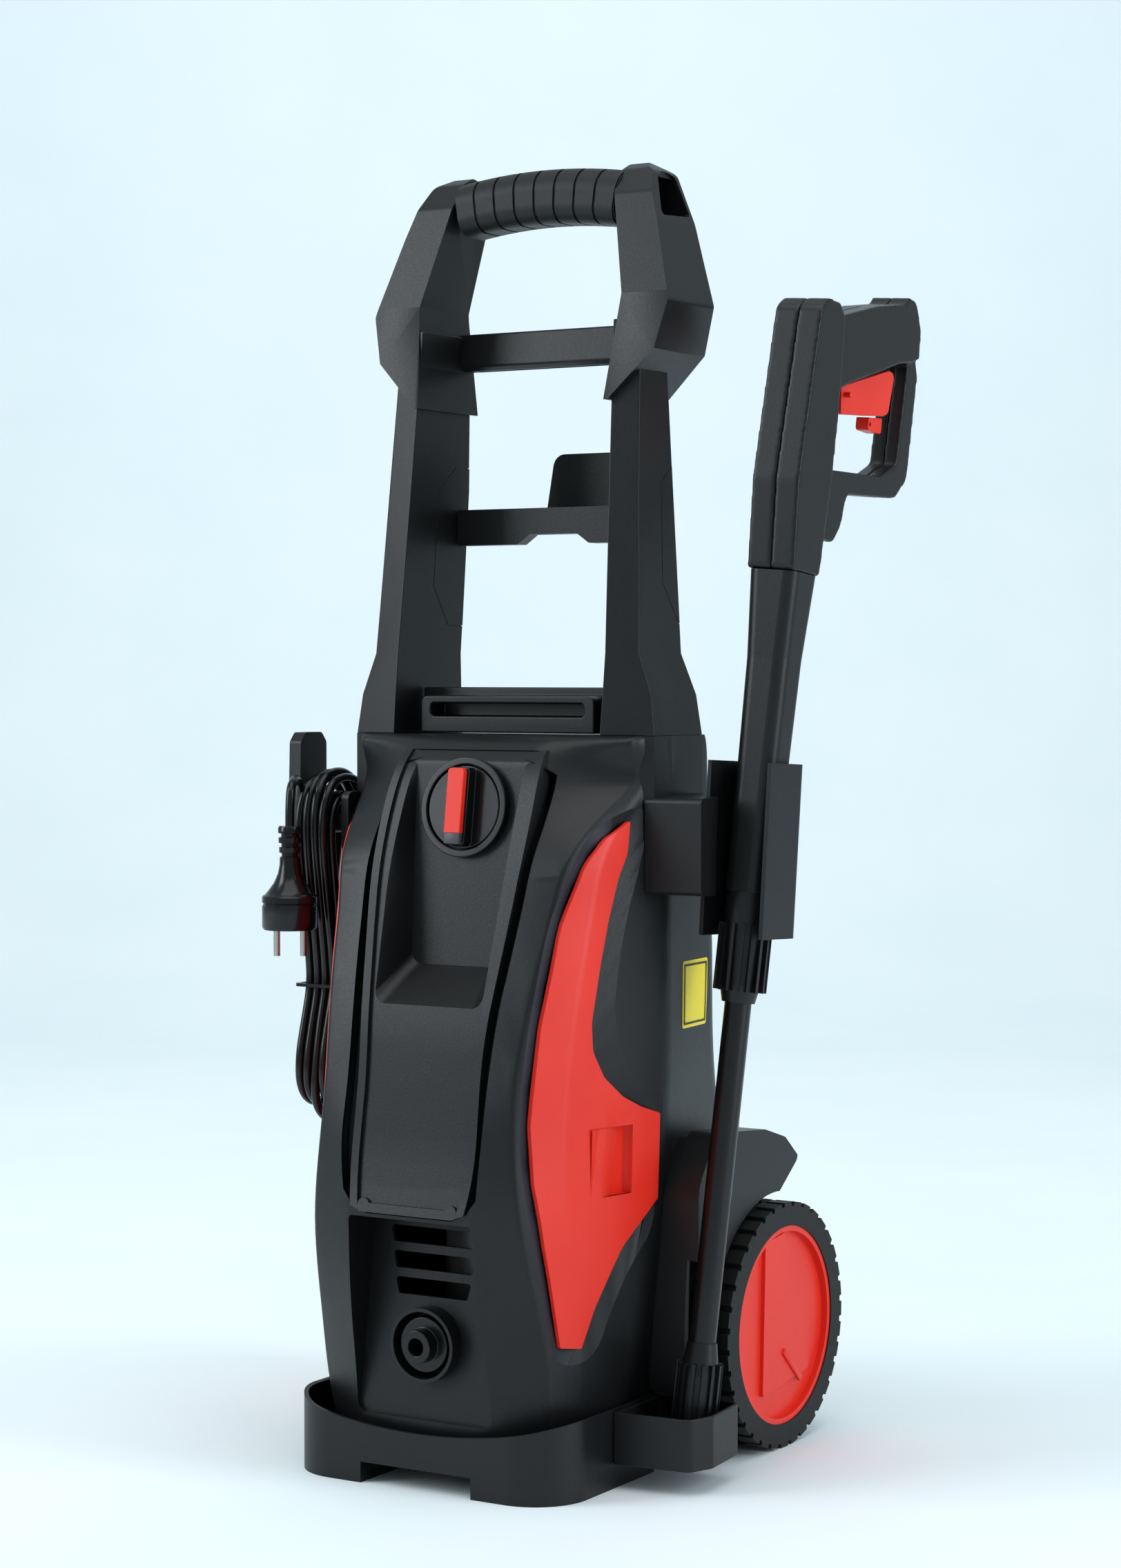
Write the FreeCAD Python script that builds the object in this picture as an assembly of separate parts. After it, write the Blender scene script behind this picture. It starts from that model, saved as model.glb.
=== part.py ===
import FreeCAD, Part
import math
import os
from FreeCAD import Placement, Rotation, Vector

# Upright electric pressure washer on two wheels, with its gun and lance stowed on the right.
# Millimetres. +Z is up, -Y is the front, +X is the right-hand side seen from the front.
# The machine is drawn about its own middle plane (x = 0) with the floor at z = 0, and every
# solid is moved by SHIFT when it is written, so that the origin is the middle of the footprint.
SHIFT = Vector(-22.1, 21.1, 0)

WALL = 3.0                  # moulded shell thickness
RUN = 0.05                  # radial running clearance on a pin or axle
GAP = 0.4                   # clearance between parts that move past each other

# base tray
TRAY_HALF = 112.0
TRAY_FRONT = -191.0
TRAY_BACK = 74.0
TRAY_RIM = 56.0
TRAY_FLOOR = 18.0
FOOT_INNER = 45.0           # inner edge of each front foot
FOOT_BACK = -60.0
FOOT_DEPTH = 14.5           # clear height under the tray between and behind the feet

# wheels
WHEEL_R = 88.0
WHEEL_Y = 54.0
WHEEL_IN = 118.0            # inner and outer face of the tyre, from the middle plane
WHEEL_OUT = 156.0
HUB_R = 71.0
AXLE_R = 5.0

# body shell
BODY_BOTTOM = 20.0
BODY_TOP = 512.0
# height, front y, crease x, crease y, side half width, back x, back y, back corner radius
BODY_LEVELS = [
    (20, -176, 88, -158, 105, 98, 68, 25),
    (55, -182, 90, -163, 107, 99, 69, 25),
    (85, -186, 92, -167, 109, 100, 70, 25),
    (108, -190, 91, -172, 111, 101, 69, 25),
    (185, -198, 84, -190, 119, 104, 65, 30),
    (233, -198, 79, -191, 122, 106, 58, 30),
    (281, -188, 77, -186, 124, 111, 42, 28),
    (330, -178, 81, -175, 124, 116, 30, 24),
    (362, -169, 84, -166, 124, 117, 27, 22),
    (400, -158, 88, -154, 124, 118, 22, 20),
    (426, -150, 92, -145, 124, 119, 16, 16),
    (447, -141, 97, -128, 124, 120, 12, 14),
    (463, -135, 103, -108, 124, 120, 9, 12),
    (480, -127, 110, -88, 124, 120, 7, 10),
    (495, -118, 112, -87, 124, 121, 4, 8),
    (512, -98, 112, -87, 124, 121, 0, 8),
]
FRONT_FLAT = 50.0           # half width of the nearly flat front
SIDE_START = -62.0          # where the side turns parallel to the middle plane

# uprights: height, then inner front, outer front, outer back, inner back corners
UPRIGHT_LEVELS = [
    (512, (85.5, -90), (123.6, -81), (123.6, -13), (85.5, 1)),
    (540, (85.8, -87), (120.0, -79), (120.0, -15), (85.5, -1)),
    (569, (85.9, -83.6), (109.4, -77.6), (109.4, -18), (85.4, -2)),
    (689, (82.2, -71.8), (103.5, -67.5), (103.5, -20), (82.0, 4)),
    (800, (79.2, -61), (99.5, -58), (99.5, -24), (79.2, 2)),
]
UPRIGHT_TOP = 800.0

# lance and gun: a straight axis that leans back and outwards
LANCE_FOOT = Vector(150, -70, 45)
LANCE_LEAN = Vector(0.0667, 0.0933, 1.0)

# control knob, on a plate that leans back
PLATE_LOW = (-139.7, 354.0)   # y, z at the foot of the knob plate
PLATE_LEAN = 0.139            # y gained for each millimetre of height
KNOB_Z = 462.0


# ---------------------------------------------------------------- helpers

def unit(v):
    return Vector(v).normalize()


def level(z):
    return lambda u, v: Vector(u, v, z)


def facing(y):
    return lambda u, v: Vector(u, y, v)


def beside(x):
    return lambda u, v: Vector(x, u, v)


def rounded_wire(corners, radii, place):
    """Closed outline through 2-D corners, each rounded to its own radius."""
    count = len(corners)
    if not isinstance(radii, (list, tuple)):
        radii = [radii] * count
    points = [Vector(u, v, 0) for u, v in corners]
    bends = []
    for i, here in enumerate(points):
        back = unit(points[i - 1] - here)
        ahead = unit(points[(i + 1) % count] - here)
        half = back.getAngle(ahead) / 2
        reach = radii[i] / math.tan(half)
        middle = here + unit(back + ahead) * (radii[i] / math.sin(half) - radii[i])
        bends.append((here + back * reach, middle, here + ahead * reach))
    edges = []
    for i, (start, middle, end) in enumerate(bends):
        after = bends[(i + 1) % count][0]
        if radii[i] > 0:
            edges.append(Part.Arc(*[place(p.x, p.y) for p in (start, middle, end)]).toShape())
        if (after - end).Length > 1e-4:
            edges.append(Part.LineSegment(place(end.x, end.y), place(after.x, after.y)).toShape())
    return Part.Wire(edges)


def prism(corners, radii, place, along):
    return Part.Face(rounded_wire(corners, radii, place)).extrude(Vector(*along))


def shrink(corners, distance):
    """Corners of a convex outline moved inwards by a distance."""
    count = len(corners)
    area = sum(corners[i][0] * corners[(i + 1) % count][1] - corners[(i + 1) % count][0] * corners[i][1]
               for i in range(count))
    turn = 1 if area > 0 else -1
    moved = []
    for i in range(count):
        (ax, ay), (bx, by), (cx, cy) = corners[i - 1], corners[i], corners[(i + 1) % count]
        first = unit(Vector(bx - ax, by - ay, 0))
        second = unit(Vector(cx - bx, cy - by, 0))
        normal = unit(Vector(-first.y - second.y, first.x + second.x, 0)) * turn
        scale = distance / abs(normal.x * -first.y + normal.y * first.x)
        moved.append((bx + normal.x * scale, by + normal.y * scale))
    return moved


def box(x0, x1, y0, y1, z0, z1):
    return Part.makeBox(x1 - x0, y1 - y0, z1 - z0, Vector(x0, y0, z0))


def rod(radius, start, along):
    return Part.makeCylinder(radius, Vector(*along).Length, Vector(*start), Vector(*along))


def ring(outer, inner, start, along):
    return rod(outer, start, along).cut(rod(inner, start, along))


def mirrored(shape):
    return shape.mirror(Vector(0, 0, 0), Vector(1, 0, 0))


def both_sides(corners):
    """Right-hand corners followed by the same corners mirrored, as one closed outline."""
    return corners + [(-x, y) for x, y in reversed(corners)]


def fuse(shapes):
    return shapes[0].multiFuse(shapes[1:]).removeSplitter() if len(shapes) > 1 else shapes[0]


def save(name, shape):
    solids = [s for s in shape.Solids if s.Volume > 1.0]
    shape = solids[0] if len(solids) == 1 else Part.makeCompound(solids)
    shape.translate(SHIFT)
    if not shape.isValid():
        print("NOT VALID", name)
    shape.exportStep(f"parts/{name}.step")
    b = shape.optimalBoundingBox(False)
    print(f"{name:22s} solids {len(solids)} volume {shape.Volume / 1000:9.2f} cm3  "
          f"x {b.XMin:7.1f} {b.XMax:7.1f} y {b.YMin:7.1f} {b.YMax:7.1f} z {b.ZMin:7.1f} {b.ZMax:7.1f}")


os.makedirs("parts", exist_ok=True)


# ---------------------------------------------------------------- body shell

def body_corners(row):
    height, front_y, crease_x, crease_y, side_x, back_x, back_y, back_r = row
    swell_x = crease_x + 0.45 * (side_x - crease_x)
    swell_y = crease_y + 0.27 * (SIDE_START - crease_y)
    return [(FRONT_FLAT, front_y), (crease_x, crease_y), (swell_x, swell_y), (side_x, SIDE_START), (back_x, back_y)]


def body_section(row, inset, z):
    corners = shrink(both_sides(body_corners(row)), inset)
    back_r = max(row[7] - inset, 4)
    radii = [25, 5, 20, 30, back_r]
    return rounded_wire(corners, radii + radii[::-1], level(z))


def body_solid(inset):
    """The whole body as one solid, every wall set in by the same distance."""
    drop = 2.0 if inset > 0 else 0
    wires = [body_section(BODY_LEVELS[0], inset, BODY_BOTTOM - drop)]
    wires += [body_section(row, inset, row[0]) for row in BODY_LEVELS[1:-1]]
    wires.append(body_section(BODY_LEVELS[-1], inset, BODY_TOP - inset))
    return Part.makeLoft(wires, True, False)


body_outer = body_solid(0)
body_inner = body_solid(WALL)
body_shell = body_outer.cut(body_inner)

# The front hood ends at this line, seen from the side; a scallop bites into it at mid height.
SPLIT_Y = -66.0
SCALLOP = [(SPLIT_Y, 258), (SPLIT_Y, 265), (-88, 277), (-104, 296), (-108.5, 322), (-101, 366), (-90, 403), (-80, 424),
           (SPLIT_Y, 440)]
SCALLOP_RADII = [0, 4, 8, 12, 12, 30, 20, 8, 4]
front_zone = prism([(-300, 0), (SPLIT_Y, 0)] + SCALLOP[1:] + [(SPLIT_Y, 600), (-300, 600)],
                   [0, 0] + SCALLOP_RADII[1:] + [0, 0], beside(-200), (400, 0, 0))
rear_zone = prism([(300, 0), (SPLIT_Y, 0)] + SCALLOP[1:] + [(SPLIT_Y, 600), (300, 600)],
                  [0, 0] + SCALLOP_RADII[1:] + [0, 0], beside(-200), (400, 0, 0))

upright_foot = list(UPRIGHT_LEVELS[0][1:])
SHOULDER_Z = 466.0
shoulder_block = prism(upright_foot, 0, level(SHOULDER_Z), (0, 0, BODY_TOP - SHOULDER_Z))
shoulder = shoulder_block.cut(body_inner)
shoulders = [shoulder, mirrored(shoulder)]

front_half = body_shell.common(front_zone)
rear_shell = fuse([body_shell.common(rear_zone)] + [s.cut(front_half) for s in shoulders])
axle_hole = rod(AXLE_R + 1, (-200, WHEEL_Y, WHEEL_R), (400, 0, 0))
rear_vents = [box(-45, 45, -20, 120, z, z + 5) for z in range(236, 317, 10)]
rear_shell = rear_shell.cut(fuse(rear_vents)).cut(axle_hole)

# ---------------------------------------------------------------- tongue cover with knob recess

TONGUE_SIDE = [(46, 193), (50, 235), (49.5, 274), (51.5, 320), (56, 367), (60, 417), (61, 463), (58, 502)]
TONGUE_FACE = [(-201, 186), (-184, 274), (-177, 320), (-165, 367), (-151.7, 417), (-135, 463), (-118.4, 495), (-104, 508)]


def curve(points, place):
    spline = Part.BSplineCurve()
    spline.interpolate([place(u, v) for u, v in points])
    return spline.toShape()


def tongue_outline(inset):
    """Front-view prism of the tongue: waisted sides, rounded foot, square top."""
    side_points = [(x - inset, z) for x, z in TONGUE_SIDE]
    foot_z = TONGUE_SIDE[0][1] - 3.5 + inset
    turn = 9.0
    right = curve(side_points, facing(-260))
    left = curve([(-x, z) for x, z in side_points], facing(-260))
    x0, z0 = side_points[0]
    x1, z1 = side_points[-1]
    corner = turn * (1 - math.sqrt(0.5))
    foot_right = Part.Arc(Vector(x0, -260, z0), Vector(x0 - corner, -260, foot_z + corner),
                          Vector(x0 - turn, -260, foot_z)).toShape()
    foot_left = Part.Arc(Vector(-x0, -260, z0), Vector(corner - x0, -260, foot_z + corner),
                         Vector(turn - x0, -260, foot_z)).toShape()
    foot = Part.LineSegment(Vector(x0 - turn, -260, foot_z), Vector(turn - x0, -260, foot_z)).toShape()
    top = Part.LineSegment(Vector(x1, -260, z1), Vector(-x1, -260, z1)).toShape()
    wire = Part.Wire(Part.__sortEdges__([right, top, left, foot_left, foot, foot_right]))
    return Part.Face(wire).extrude(Vector(0, 200, 0))


def in_front_of(points, forward):
    """Everything forward of the side-view curve moved forward by a distance."""
    moved = [(y - forward, z) for y, z in points]
    (ya, za), (yb, zb) = moved[0], moved[-1]
    edges = [curve(moved, beside(-100)),
             Part.makePolygon([Vector(-100, yb, zb), Vector(-100, -300, zb), Vector(-100, -300, za),
                               Vector(-100, ya, za)])]
    wire = Part.Wire(edges[0].Edges + edges[1].Edges)
    return Part.Face(wire).extrude(Vector(200, 0, 0))


def plate_y(z):
    return PLATE_LOW[0] + PLATE_LEAN * (z - PLATE_LOW[1])


TONGUE_THICK = 4.0
RIM_WIDTH = 6.0
RIM_PROUD = 2.5
tongue_prism = tongue_outline(0)
skin = tongue_prism.common(in_front_of(TONGUE_FACE, -TONGUE_THICK)).cut(in_front_of(TONGUE_FACE, 0))
rim_zone = tongue_prism.cut(tongue_outline(RIM_WIDTH))
rim = rim_zone.common(in_front_of(TONGUE_FACE, 0)).cut(in_front_of(TONGUE_FACE, RIM_PROUD))
rim_wall = tongue_prism.cut(tongue_outline(2.5)).common(in_front_of(TONGUE_FACE, -14)).cut(in_front_of(TONGUE_FACE, 0))
knob_block = box(-56, 56, -190, -100, 318, 500).common(tongue_outline(1)).cut(in_front_of(TONGUE_FACE, 0))
plate_back = prism([(plate_y(300) + 3.5, 300), (plate_y(512) + 3.5, 512), (-20, 512), (-20, 300)], 0, beside(-100), (200, 0, 0))
knob_block = knob_block.cut(plate_back)


def recess_outline(half_low, half_high, low, high, radius, forward):
    corners = [(half_low, low), (half_high, high), (-half_high, high), (-half_low, low)]
    return rounded_wire(corners, radius, lambda u, v: Vector(u, plate_y(v) - forward, v))


knob_recess = Part.makeLoft([recess_outline(36.5, 45, 354, 499, 9, 0),
                             recess_outline(46, 62, 321, 500, 9, 42)], True, True)
tongue_cover = fuse([skin, rim, rim_wall, knob_block]).cut(knob_recess)
shaft_hole = rod(7, (0, plate_y(KNOB_Z) - 20, KNOB_Z), (0, 40, 0))
tongue_cover = tongue_cover.cut(shaft_hole)

# ---------------------------------------------------------------- lower grille panel and hose outlet

PANEL_LOW = (-181.0, 46.0)
PANEL_HIGH = (-163.0, 188.0)
OUTLET_Z = 98.0
OUTLET_FACE = -190.0
PANEL_OUTLINE = [(58, 44), (52, 188), (-52, 188), (-58, 44)]


def panel_band(start, end):
    """Slab that follows the leaning panel, from start to end behind its front face."""
    corners = [(PANEL_LOW[0] + start, 0), (PANEL_HIGH[0] + start, 189), (PANEL_HIGH[0] + end, 189),
               (PANEL_LOW[0] + end, 0)]
    return prism(corners, 0, beside(-100), (200, 0, 0))


panel_prism = prism(PANEL_OUTLINE, [10, 4, 4, 10], facing(-260), (0, 160, 0))
panel_inner = prism(shrink(PANEL_OUTLINE, 2.5), [8, 3, 3, 8], facing(-260), (0, 160, 0))
panel_plate = panel_prism.common(panel_band(0, 3))
panel_walls = panel_prism.cut(panel_inner).common(panel_band(-40, 0)).common(body_outer)
SLOT_TOPS = [(175.5, 37), (158, 34), (140.5, 31)]
SLOT_HEIGHT = 11.5
slots = [prism([(half, top), (-half, top), (3 - half, top - SLOT_HEIGHT), (half - 3, top - SLOT_HEIGHT)], 2,
               facing(-230), (0, 90, 0)) for top, half in SLOT_TOPS]
outlet_well = rod(23, (0, -210, OUTLET_Z), (0, 60, 0))
well_wall = ring(25.5, 23, (0, -183, OUTLET_Z), (0, 25, 0))
well_floor = ring(25.5, 12.2, (0, -160.5, OUTLET_Z), (0, 2.5, 0))
grille_panel = fuse([fuse([panel_plate, panel_walls]).cut(fuse(slots)).cut(outlet_well), well_wall, well_floor])

front_hood = front_half.cut(tongue_prism).cut(panel_prism)

outlet_connector = fuse([rod(12, (0, -140, OUTLET_Z), (0, -30, 0)), rod(19, (0, -164, OUTLET_Z), (0, -16, 0)),
                         rod(11.5, (0, -180, OUTLET_Z), (0, OUTLET_FACE + 180, 0))])
OUTLET_BORE_R = 6.0
OUTLET_BORE_LENGTH = 26.0
outlet_connector = outlet_connector.cut(rod(OUTLET_BORE_R, (0, OUTLET_FACE, OUTLET_Z), (0, OUTLET_BORE_LENGTH, 0)))
outlet_connector = outlet_connector.cut(rod(3.5, (0, OUTLET_FACE, OUTLET_Z), (0, 60, 0)))

# ---------------------------------------------------------------- red side inlays

INLAY = [(-96, 455), (-117, 443), (-133, 426), (-151, 384), (-168, 319), (-178.5, 253), (-179, 214), (-173, 172),
         (-158, 102), (-139, 99), (-126, 125), (-101, 163), (-67.5, 193), (-69, 252.5), (-87, 258.5), (-104, 267),
         (-121, 281.5), (-131, 300), (-132, 319.5), (-124, 358), (-117, 386), (-108, 416), (-100, 432)]
INLAY_RADII = [1, 20, 40, 90, 90, 60, 40, 60, 2, 2, 30, 30, 2, 2, 12, 20, 14, 14, 14, 60, 60, 40, 2]
inlay_prism = prism(INLAY, INLAY_RADII, beside(60), (80, 0, 0))
inlay_slab = body_solid(-0.8).cut(body_solid(1.6))
right_inlay = inlay_slab.common(inlay_prism)
left_inlay = mirrored(right_inlay)
inlay_pocket = body_outer.cut(body_solid(1.6)).common(inlay_prism)
front_hood = front_hood.cut(inlay_pocket).cut(mirrored(inlay_pocket))

# ---------------------------------------------------------------- base tray with axle brackets

tray_outline = [(-TRAY_HALF, TRAY_FRONT), (TRAY_HALF, TRAY_FRONT), (TRAY_HALF, TRAY_BACK), (-TRAY_HALF, TRAY_BACK)]
TRAY_RADII = [40, 40, 18, 18]
TRAY_DIP = 39.0             # rim height at the middle of the front
TRAY_DIP_R = 400.0
tray = prism(tray_outline, TRAY_RADII, level(0), (0, 0, TRAY_RIM))
tray = tray.cut(rod(TRAY_DIP_R, (0, -300, TRAY_DIP + TRAY_DIP_R), (0, 500, 0)))
tray_inside = prism(shrink(tray_outline, WALL), [r - WALL for r in TRAY_RADII], level(TRAY_FLOOR), (0, 0, 60))
tray = tray.cut(tray_inside)
tray = tray.cut(box(-FOOT_INNER, FOOT_INNER, -300, 200, 0, FOOT_DEPTH))
tray = tray.cut(box(-200, 200, FOOT_BACK, 200, 0, FOOT_DEPTH))
foot_hollow = prism([(FOOT_INNER + 4, -186), (90, -186), (106, -170), (106, FOOT_BACK - 4), (FOOT_INNER + 4, FOOT_BACK - 4)],
                    4, level(3), (0, 0, FOOT_DEPTH - 3))
bracket_outline = [(20, TRAY_FLOOR - 1), (80, TRAY_FLOOR - 1), (66, 102), (42, 102)]
bracket = prism(bracket_outline, [0, 0, 10, 10], beside(70), (10, 0, 0)).common(box(0, 200, 0, 62, 0, 200))
axle_bore = rod(AXLE_R + RUN, (-200, WHEEL_Y, WHEEL_R), (400, 0, 0))
base_tray = fuse([tray.cut(foot_hollow).cut(mirrored(foot_hollow)), bracket, mirrored(bracket)]).cut(axle_bore)

# ---------------------------------------------------------------- wheels, axle, fenders

TREADS = 36


def tread_ring(x0, x1, phase):
    """Tyre ring with square lugs round its edge."""
    step = 2 * math.pi / TREADS
    corners = []
    for i in range(TREADS):
        start = i * step + phase
        for angle, radius in ((0, WHEEL_R), (0.68 * step, WHEEL_R), (0.72 * step, WHEEL_R - 3), (0.96 * step, WHEEL_R - 3)):
            corners.append((WHEEL_Y + radius * math.cos(start + angle), WHEEL_R + radius * math.sin(start + angle)))
    return prism(corners, 0, beside(x0), (x1 - x0, 0, 0))


half_step = math.pi / TREADS
tyre = fuse([tread_ring(WHEEL_IN, 133, 0), rod(WHEEL_R - 3, (133, WHEEL_Y, WHEEL_R), (8, 0, 0)),
             tread_ring(141, WHEEL_OUT, half_step)])
tyre = tyre.cut(rod(HUB_R, (WHEEL_IN, WHEEL_Y, WHEEL_R), (WHEEL_OUT - WHEEL_IN, 0, 0)))
HUB_FACE = 150.0
hub = fuse([rod(HUB_R, (146, WHEEL_Y, WHEEL_R), (HUB_FACE - 146, 0, 0)),
            ring(HUB_R, HUB_R - 4, (WHEEL_IN + 2, WHEEL_Y, WHEEL_R), (WHEEL_OUT - WHEEL_IN - 3, 0, 0)),
            rod(12, (WHEEL_IN, WHEEL_Y, WHEEL_R), (HUB_FACE - WHEEL_IN, 0, 0))]
           + [box(WHEEL_IN + 6, 148, WHEEL_Y - 2, WHEEL_Y + 2, WHEEL_R, WHEEL_R + HUB_R - 2)
              .rotate(Vector(0, WHEEL_Y, WHEEL_R), Vector(1, 0, 0), 60 * k) for k in range(6)])
wedge = prism([(WHEEL_Y - 26, 150), (WHEEL_Y + 4, 154), (WHEEL_Y + 42, 50), (WHEEL_Y - 30, 40)], 3, beside(148), (5, 0, 0))
hub = fuse([hub, wedge]).cut(rod(AXLE_R + RUN, (100, WHEEL_Y, WHEEL_R), (45, 0, 0)))
AXLE_END = 143.0
axle = rod(AXLE_R, (-AXLE_END, WHEEL_Y, WHEEL_R), (2 * AXLE_END, 0, 0))
axle_washer = ring(9, AXLE_R + 0.1, (115.5, WHEEL_Y, WHEEL_R), (1.5, 0, 0))
axle_washers = Part.makeCompound([axle_washer, mirrored(axle_washer)])

FENDER_IN = 125.0
FENDER_OUT = 147.0
FENDER_R = WHEEL_R + 7
fender_outline = [(-58, 34), (-60, 200), (-34, 236), (38, 230), (69, 221), (89, 205), (86, 201), (54, 178),
                  (-20, 120), (-30, 34)]
fender_outer = prism(fender_outline, [0, 30, 12, 8, 10, 2, 0, 0, 0, 0], beside(FENDER_IN), (FENDER_OUT - FENDER_IN, 0, 0))
fender_bridge = prism([(-58, 36), (-60, 200), (-36, 232), (16, 228), (12, 190), (-40, 150), (-44, 36)],
                      [0, 28, 9, 2, 0, 0, 0], beside(FENDER_IN - 20), (22, 0, 0))
fender_hollow = prism([(-55, 30), (-57, 199), (-33, 232), (38, 226), (66, 218), (84, 204), (60, 170), (0, 30)],
                      [0, 27, 9, 5, 7, 0, 0, 0], beside(FENDER_IN + 2), (FENDER_OUT - FENDER_IN - 5, 0, 0))
fender_arch = rod(FENDER_R, (100, WHEEL_Y, WHEEL_R), (100, 0, 0))
tray_block = prism(tray_outline, TRAY_RADII, level(0), (0, 0, TRAY_RIM + 1))
right_fender = fender_outer.fuse(fender_bridge).cut(fender_hollow).cut(fender_arch)
right_fender = right_fender.cut(body_solid(-0.05)).cut(tray_block)
left_fender = mirrored(right_fender)

# ---------------------------------------------------------------- accessory bar, uprights, handle

BAR_FACE = -75.0
bar_front = prism([(72, 513), (72, 539), (-72, 539), (-72, 513)], [0, 5, 5, 0], facing(BAR_FACE), (0, 22, 0))
bar_back = box(-84.5, 84.5, BAR_FACE + 22, BAR_FACE + 26, 513, 545)
bar_slot = prism([(64, 524.5), (64, 534), (-64, 534), (-64, 524.5)], 3, facing(BAR_FACE - 1), (0, 19, 0))
accessory_bar = fuse([bar_front, bar_back]).cut(bar_slot)


def upright_section(row, inset, open_back):
    corners = shrink(list(row[1:]), inset)
    if open_back:
        corners[2] = (corners[2][0], 40)
        corners[3] = (corners[3][0], 40)
    return rounded_wire(corners, 0, level(row[0]))


upright_outer = Part.makeLoft([upright_section(row, 0, False) for row in UPRIGHT_LEVELS], True, True)
upright_channel = Part.makeLoft([upright_section(row, WALL, True) for row in UPRIGHT_LEVELS], True, True)
insert_outline = [(60, 705), (-14, 705), (-36, 688), (-40, 618), (-20, 590), (60, 590)]
insert_prism = prism(insert_outline, 0, beside(60), (80, 0, 0))
right_upright = upright_outer.cut(upright_channel).cut(insert_prism)
right_insert = upright_outer.common(insert_prism)
insert_hollow = prism(shrink(insert_outline, WALL), 0, beside(60), (80, 0, 0)).common(upright_channel)
right_insert = right_insert.cut(insert_hollow)

# Hose hanger: a beam between the two uprights and a turned-up lip behind it.
hanger_outline = [(82, 648), (30, 648), (20, 655), (-20, 655), (-30, 648), (-82, 648), (-82, 674), (82, 674)]
hanger_beam = prism(hanger_outline, 2, facing(-12), (0, 12, 0))
hanger_shelf = prism([(44, -8), (34, 48), (-34, 48), (-44, -8)], 6, level(668), (0, 0, 5))
hanger_lip = prism([(40, 669), (32, 716), (-32, 716), (-40, 669)], [2, 10, 10, 2], facing(43), (0, 5, 0))
hose_hanger = fuse([hanger_beam, hanger_shelf, hanger_lip]).cut(upright_outer).cut(mirrored(upright_outer))

# Handle yoke: front view outline crossed with side view outline, over the tops of the uprights.
YOKE_FRONT = [(77, 744), (106, 744), (122, 812), (105, 869), (92, 906), (80, 914), (66, 914), (67, 893), (84, 818)]
YOKE_SIDE = [(-72, 738), (-58, 818), (-40, 890), (-27, 908), (-14, 914), (6, 908), (10, 872), (6, 812), (8, 738)]
yoke_side_prism = prism(YOKE_SIDE, [0, 10, 10, 8, 8, 8, 6, 10, 0], beside(-140), (280, 0, 0))
yoke_leg = prism(YOKE_FRONT, [0, 0, 6, 6, 8, 5, 2, 4, 8], facing(-100), (0, 140, 0)).common(yoke_side_prism)
yoke_leg = yoke_leg.cut(upright_outer)
yoke_side_inner = prism(shrink(YOKE_SIDE, WALL), 0, beside(-140), (280, 0, 0))
leg_hollow = prism(shrink(YOKE_FRONT, WALL), 0, facing(-100), (0, 140, 0)).common(yoke_side_inner)
yoke_leg = yoke_leg.cut(leg_hollow.common(box(60, 140, -100, 40, UPRIGHT_TOP + 6, 914)))
end_opening = prism([(-36, 873), (-24, 902), (-12, 908), (2, 904), (6, 876)], [3, 5, 5, 5, 3], beside(90), (60, 0, 0))
yoke_leg = yoke_leg.cut(end_opening)
GRIP_RISE_R = 408.0         # radius of the long arch of the grip
GRIP_Z = 894.0
GRIP_Y = -17.0
grip_pivot = Vector(0, 0, GRIP_Z - GRIP_RISE_R)


def grip_sweep(grow, half_angle, start):
    """Rounded grip section carried along the arch, from a start angle through twice half_angle."""
    half_y, half_z = 21 + grow, 19.5 + grow
    wire = rounded_wire([(GRIP_Y - half_y, GRIP_Z - half_z), (GRIP_Y + half_y, GRIP_Z - half_z),
                         (GRIP_Y + half_y, GRIP_Z + half_z), (GRIP_Y - half_y, GRIP_Z + half_z)],
                        [13 + grow, 13 + grow, 17 + grow, 17 + grow], beside(0))
    face = Part.Face(wire)
    face.rotate(grip_pivot, Vector(0, 1, 0), start)
    return face.revolve(grip_pivot, Vector(0, 1, 0), 2 * half_angle)


GRIP_HALF = math.degrees(67.0 / GRIP_RISE_R)
GROOVES = 7
groove_pitch = 2 * GRIP_HALF / (GROOVES + 1)
groove_width = 0.3
grip_lands = [grip_sweep(0, (groove_pitch - groove_width) / 2, -GRIP_HALF + k * groove_pitch + groove_width / 2)
              for k in range(GROOVES + 1)]
grip_core = grip_sweep(-1.2, GRIP_HALF, -GRIP_HALF)
yoke_bar = grip_sweep(-8, GRIP_HALF + 0.4, -GRIP_HALF - 0.4)
handle_grip = fuse(grip_lands + [grip_core]).cut(yoke_bar)
handle_yoke = fuse([yoke_leg.cut(handle_grip), mirrored(yoke_leg).cut(handle_grip), yoke_bar])
crossbar = prism([(-11, 778), (-7, 802), (5, 802), (5, 775), (-6, 775)], 2, beside(-82), (164, 0, 0))
crossbar = crossbar.cut(box(-70, 70, -4, 2, 770, 799))
crossbar = crossbar.cut(handle_yoke).cut(upright_outer).cut(mirrored(upright_outer))

# ---------------------------------------------------------------- control knob and switch

knob_centre = Vector(0, plate_y(KNOB_Z), KNOB_Z)
knob_out = unit(Vector(0, -1, PLATE_LEAN))
knob_up = unit(Vector(0, PLATE_LEAN, 1))
knob_turn = Rotation(Vector(1, 0, 0), knob_up, knob_out, "ZXY")


def on_plate(shape):
    shape.Placement = Placement(knob_centre, knob_turn)
    return shape


def local_prism(corners, radii, z0, z1):
    return prism(corners, radii, level(z0), (0, 0, z1 - z0))


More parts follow.
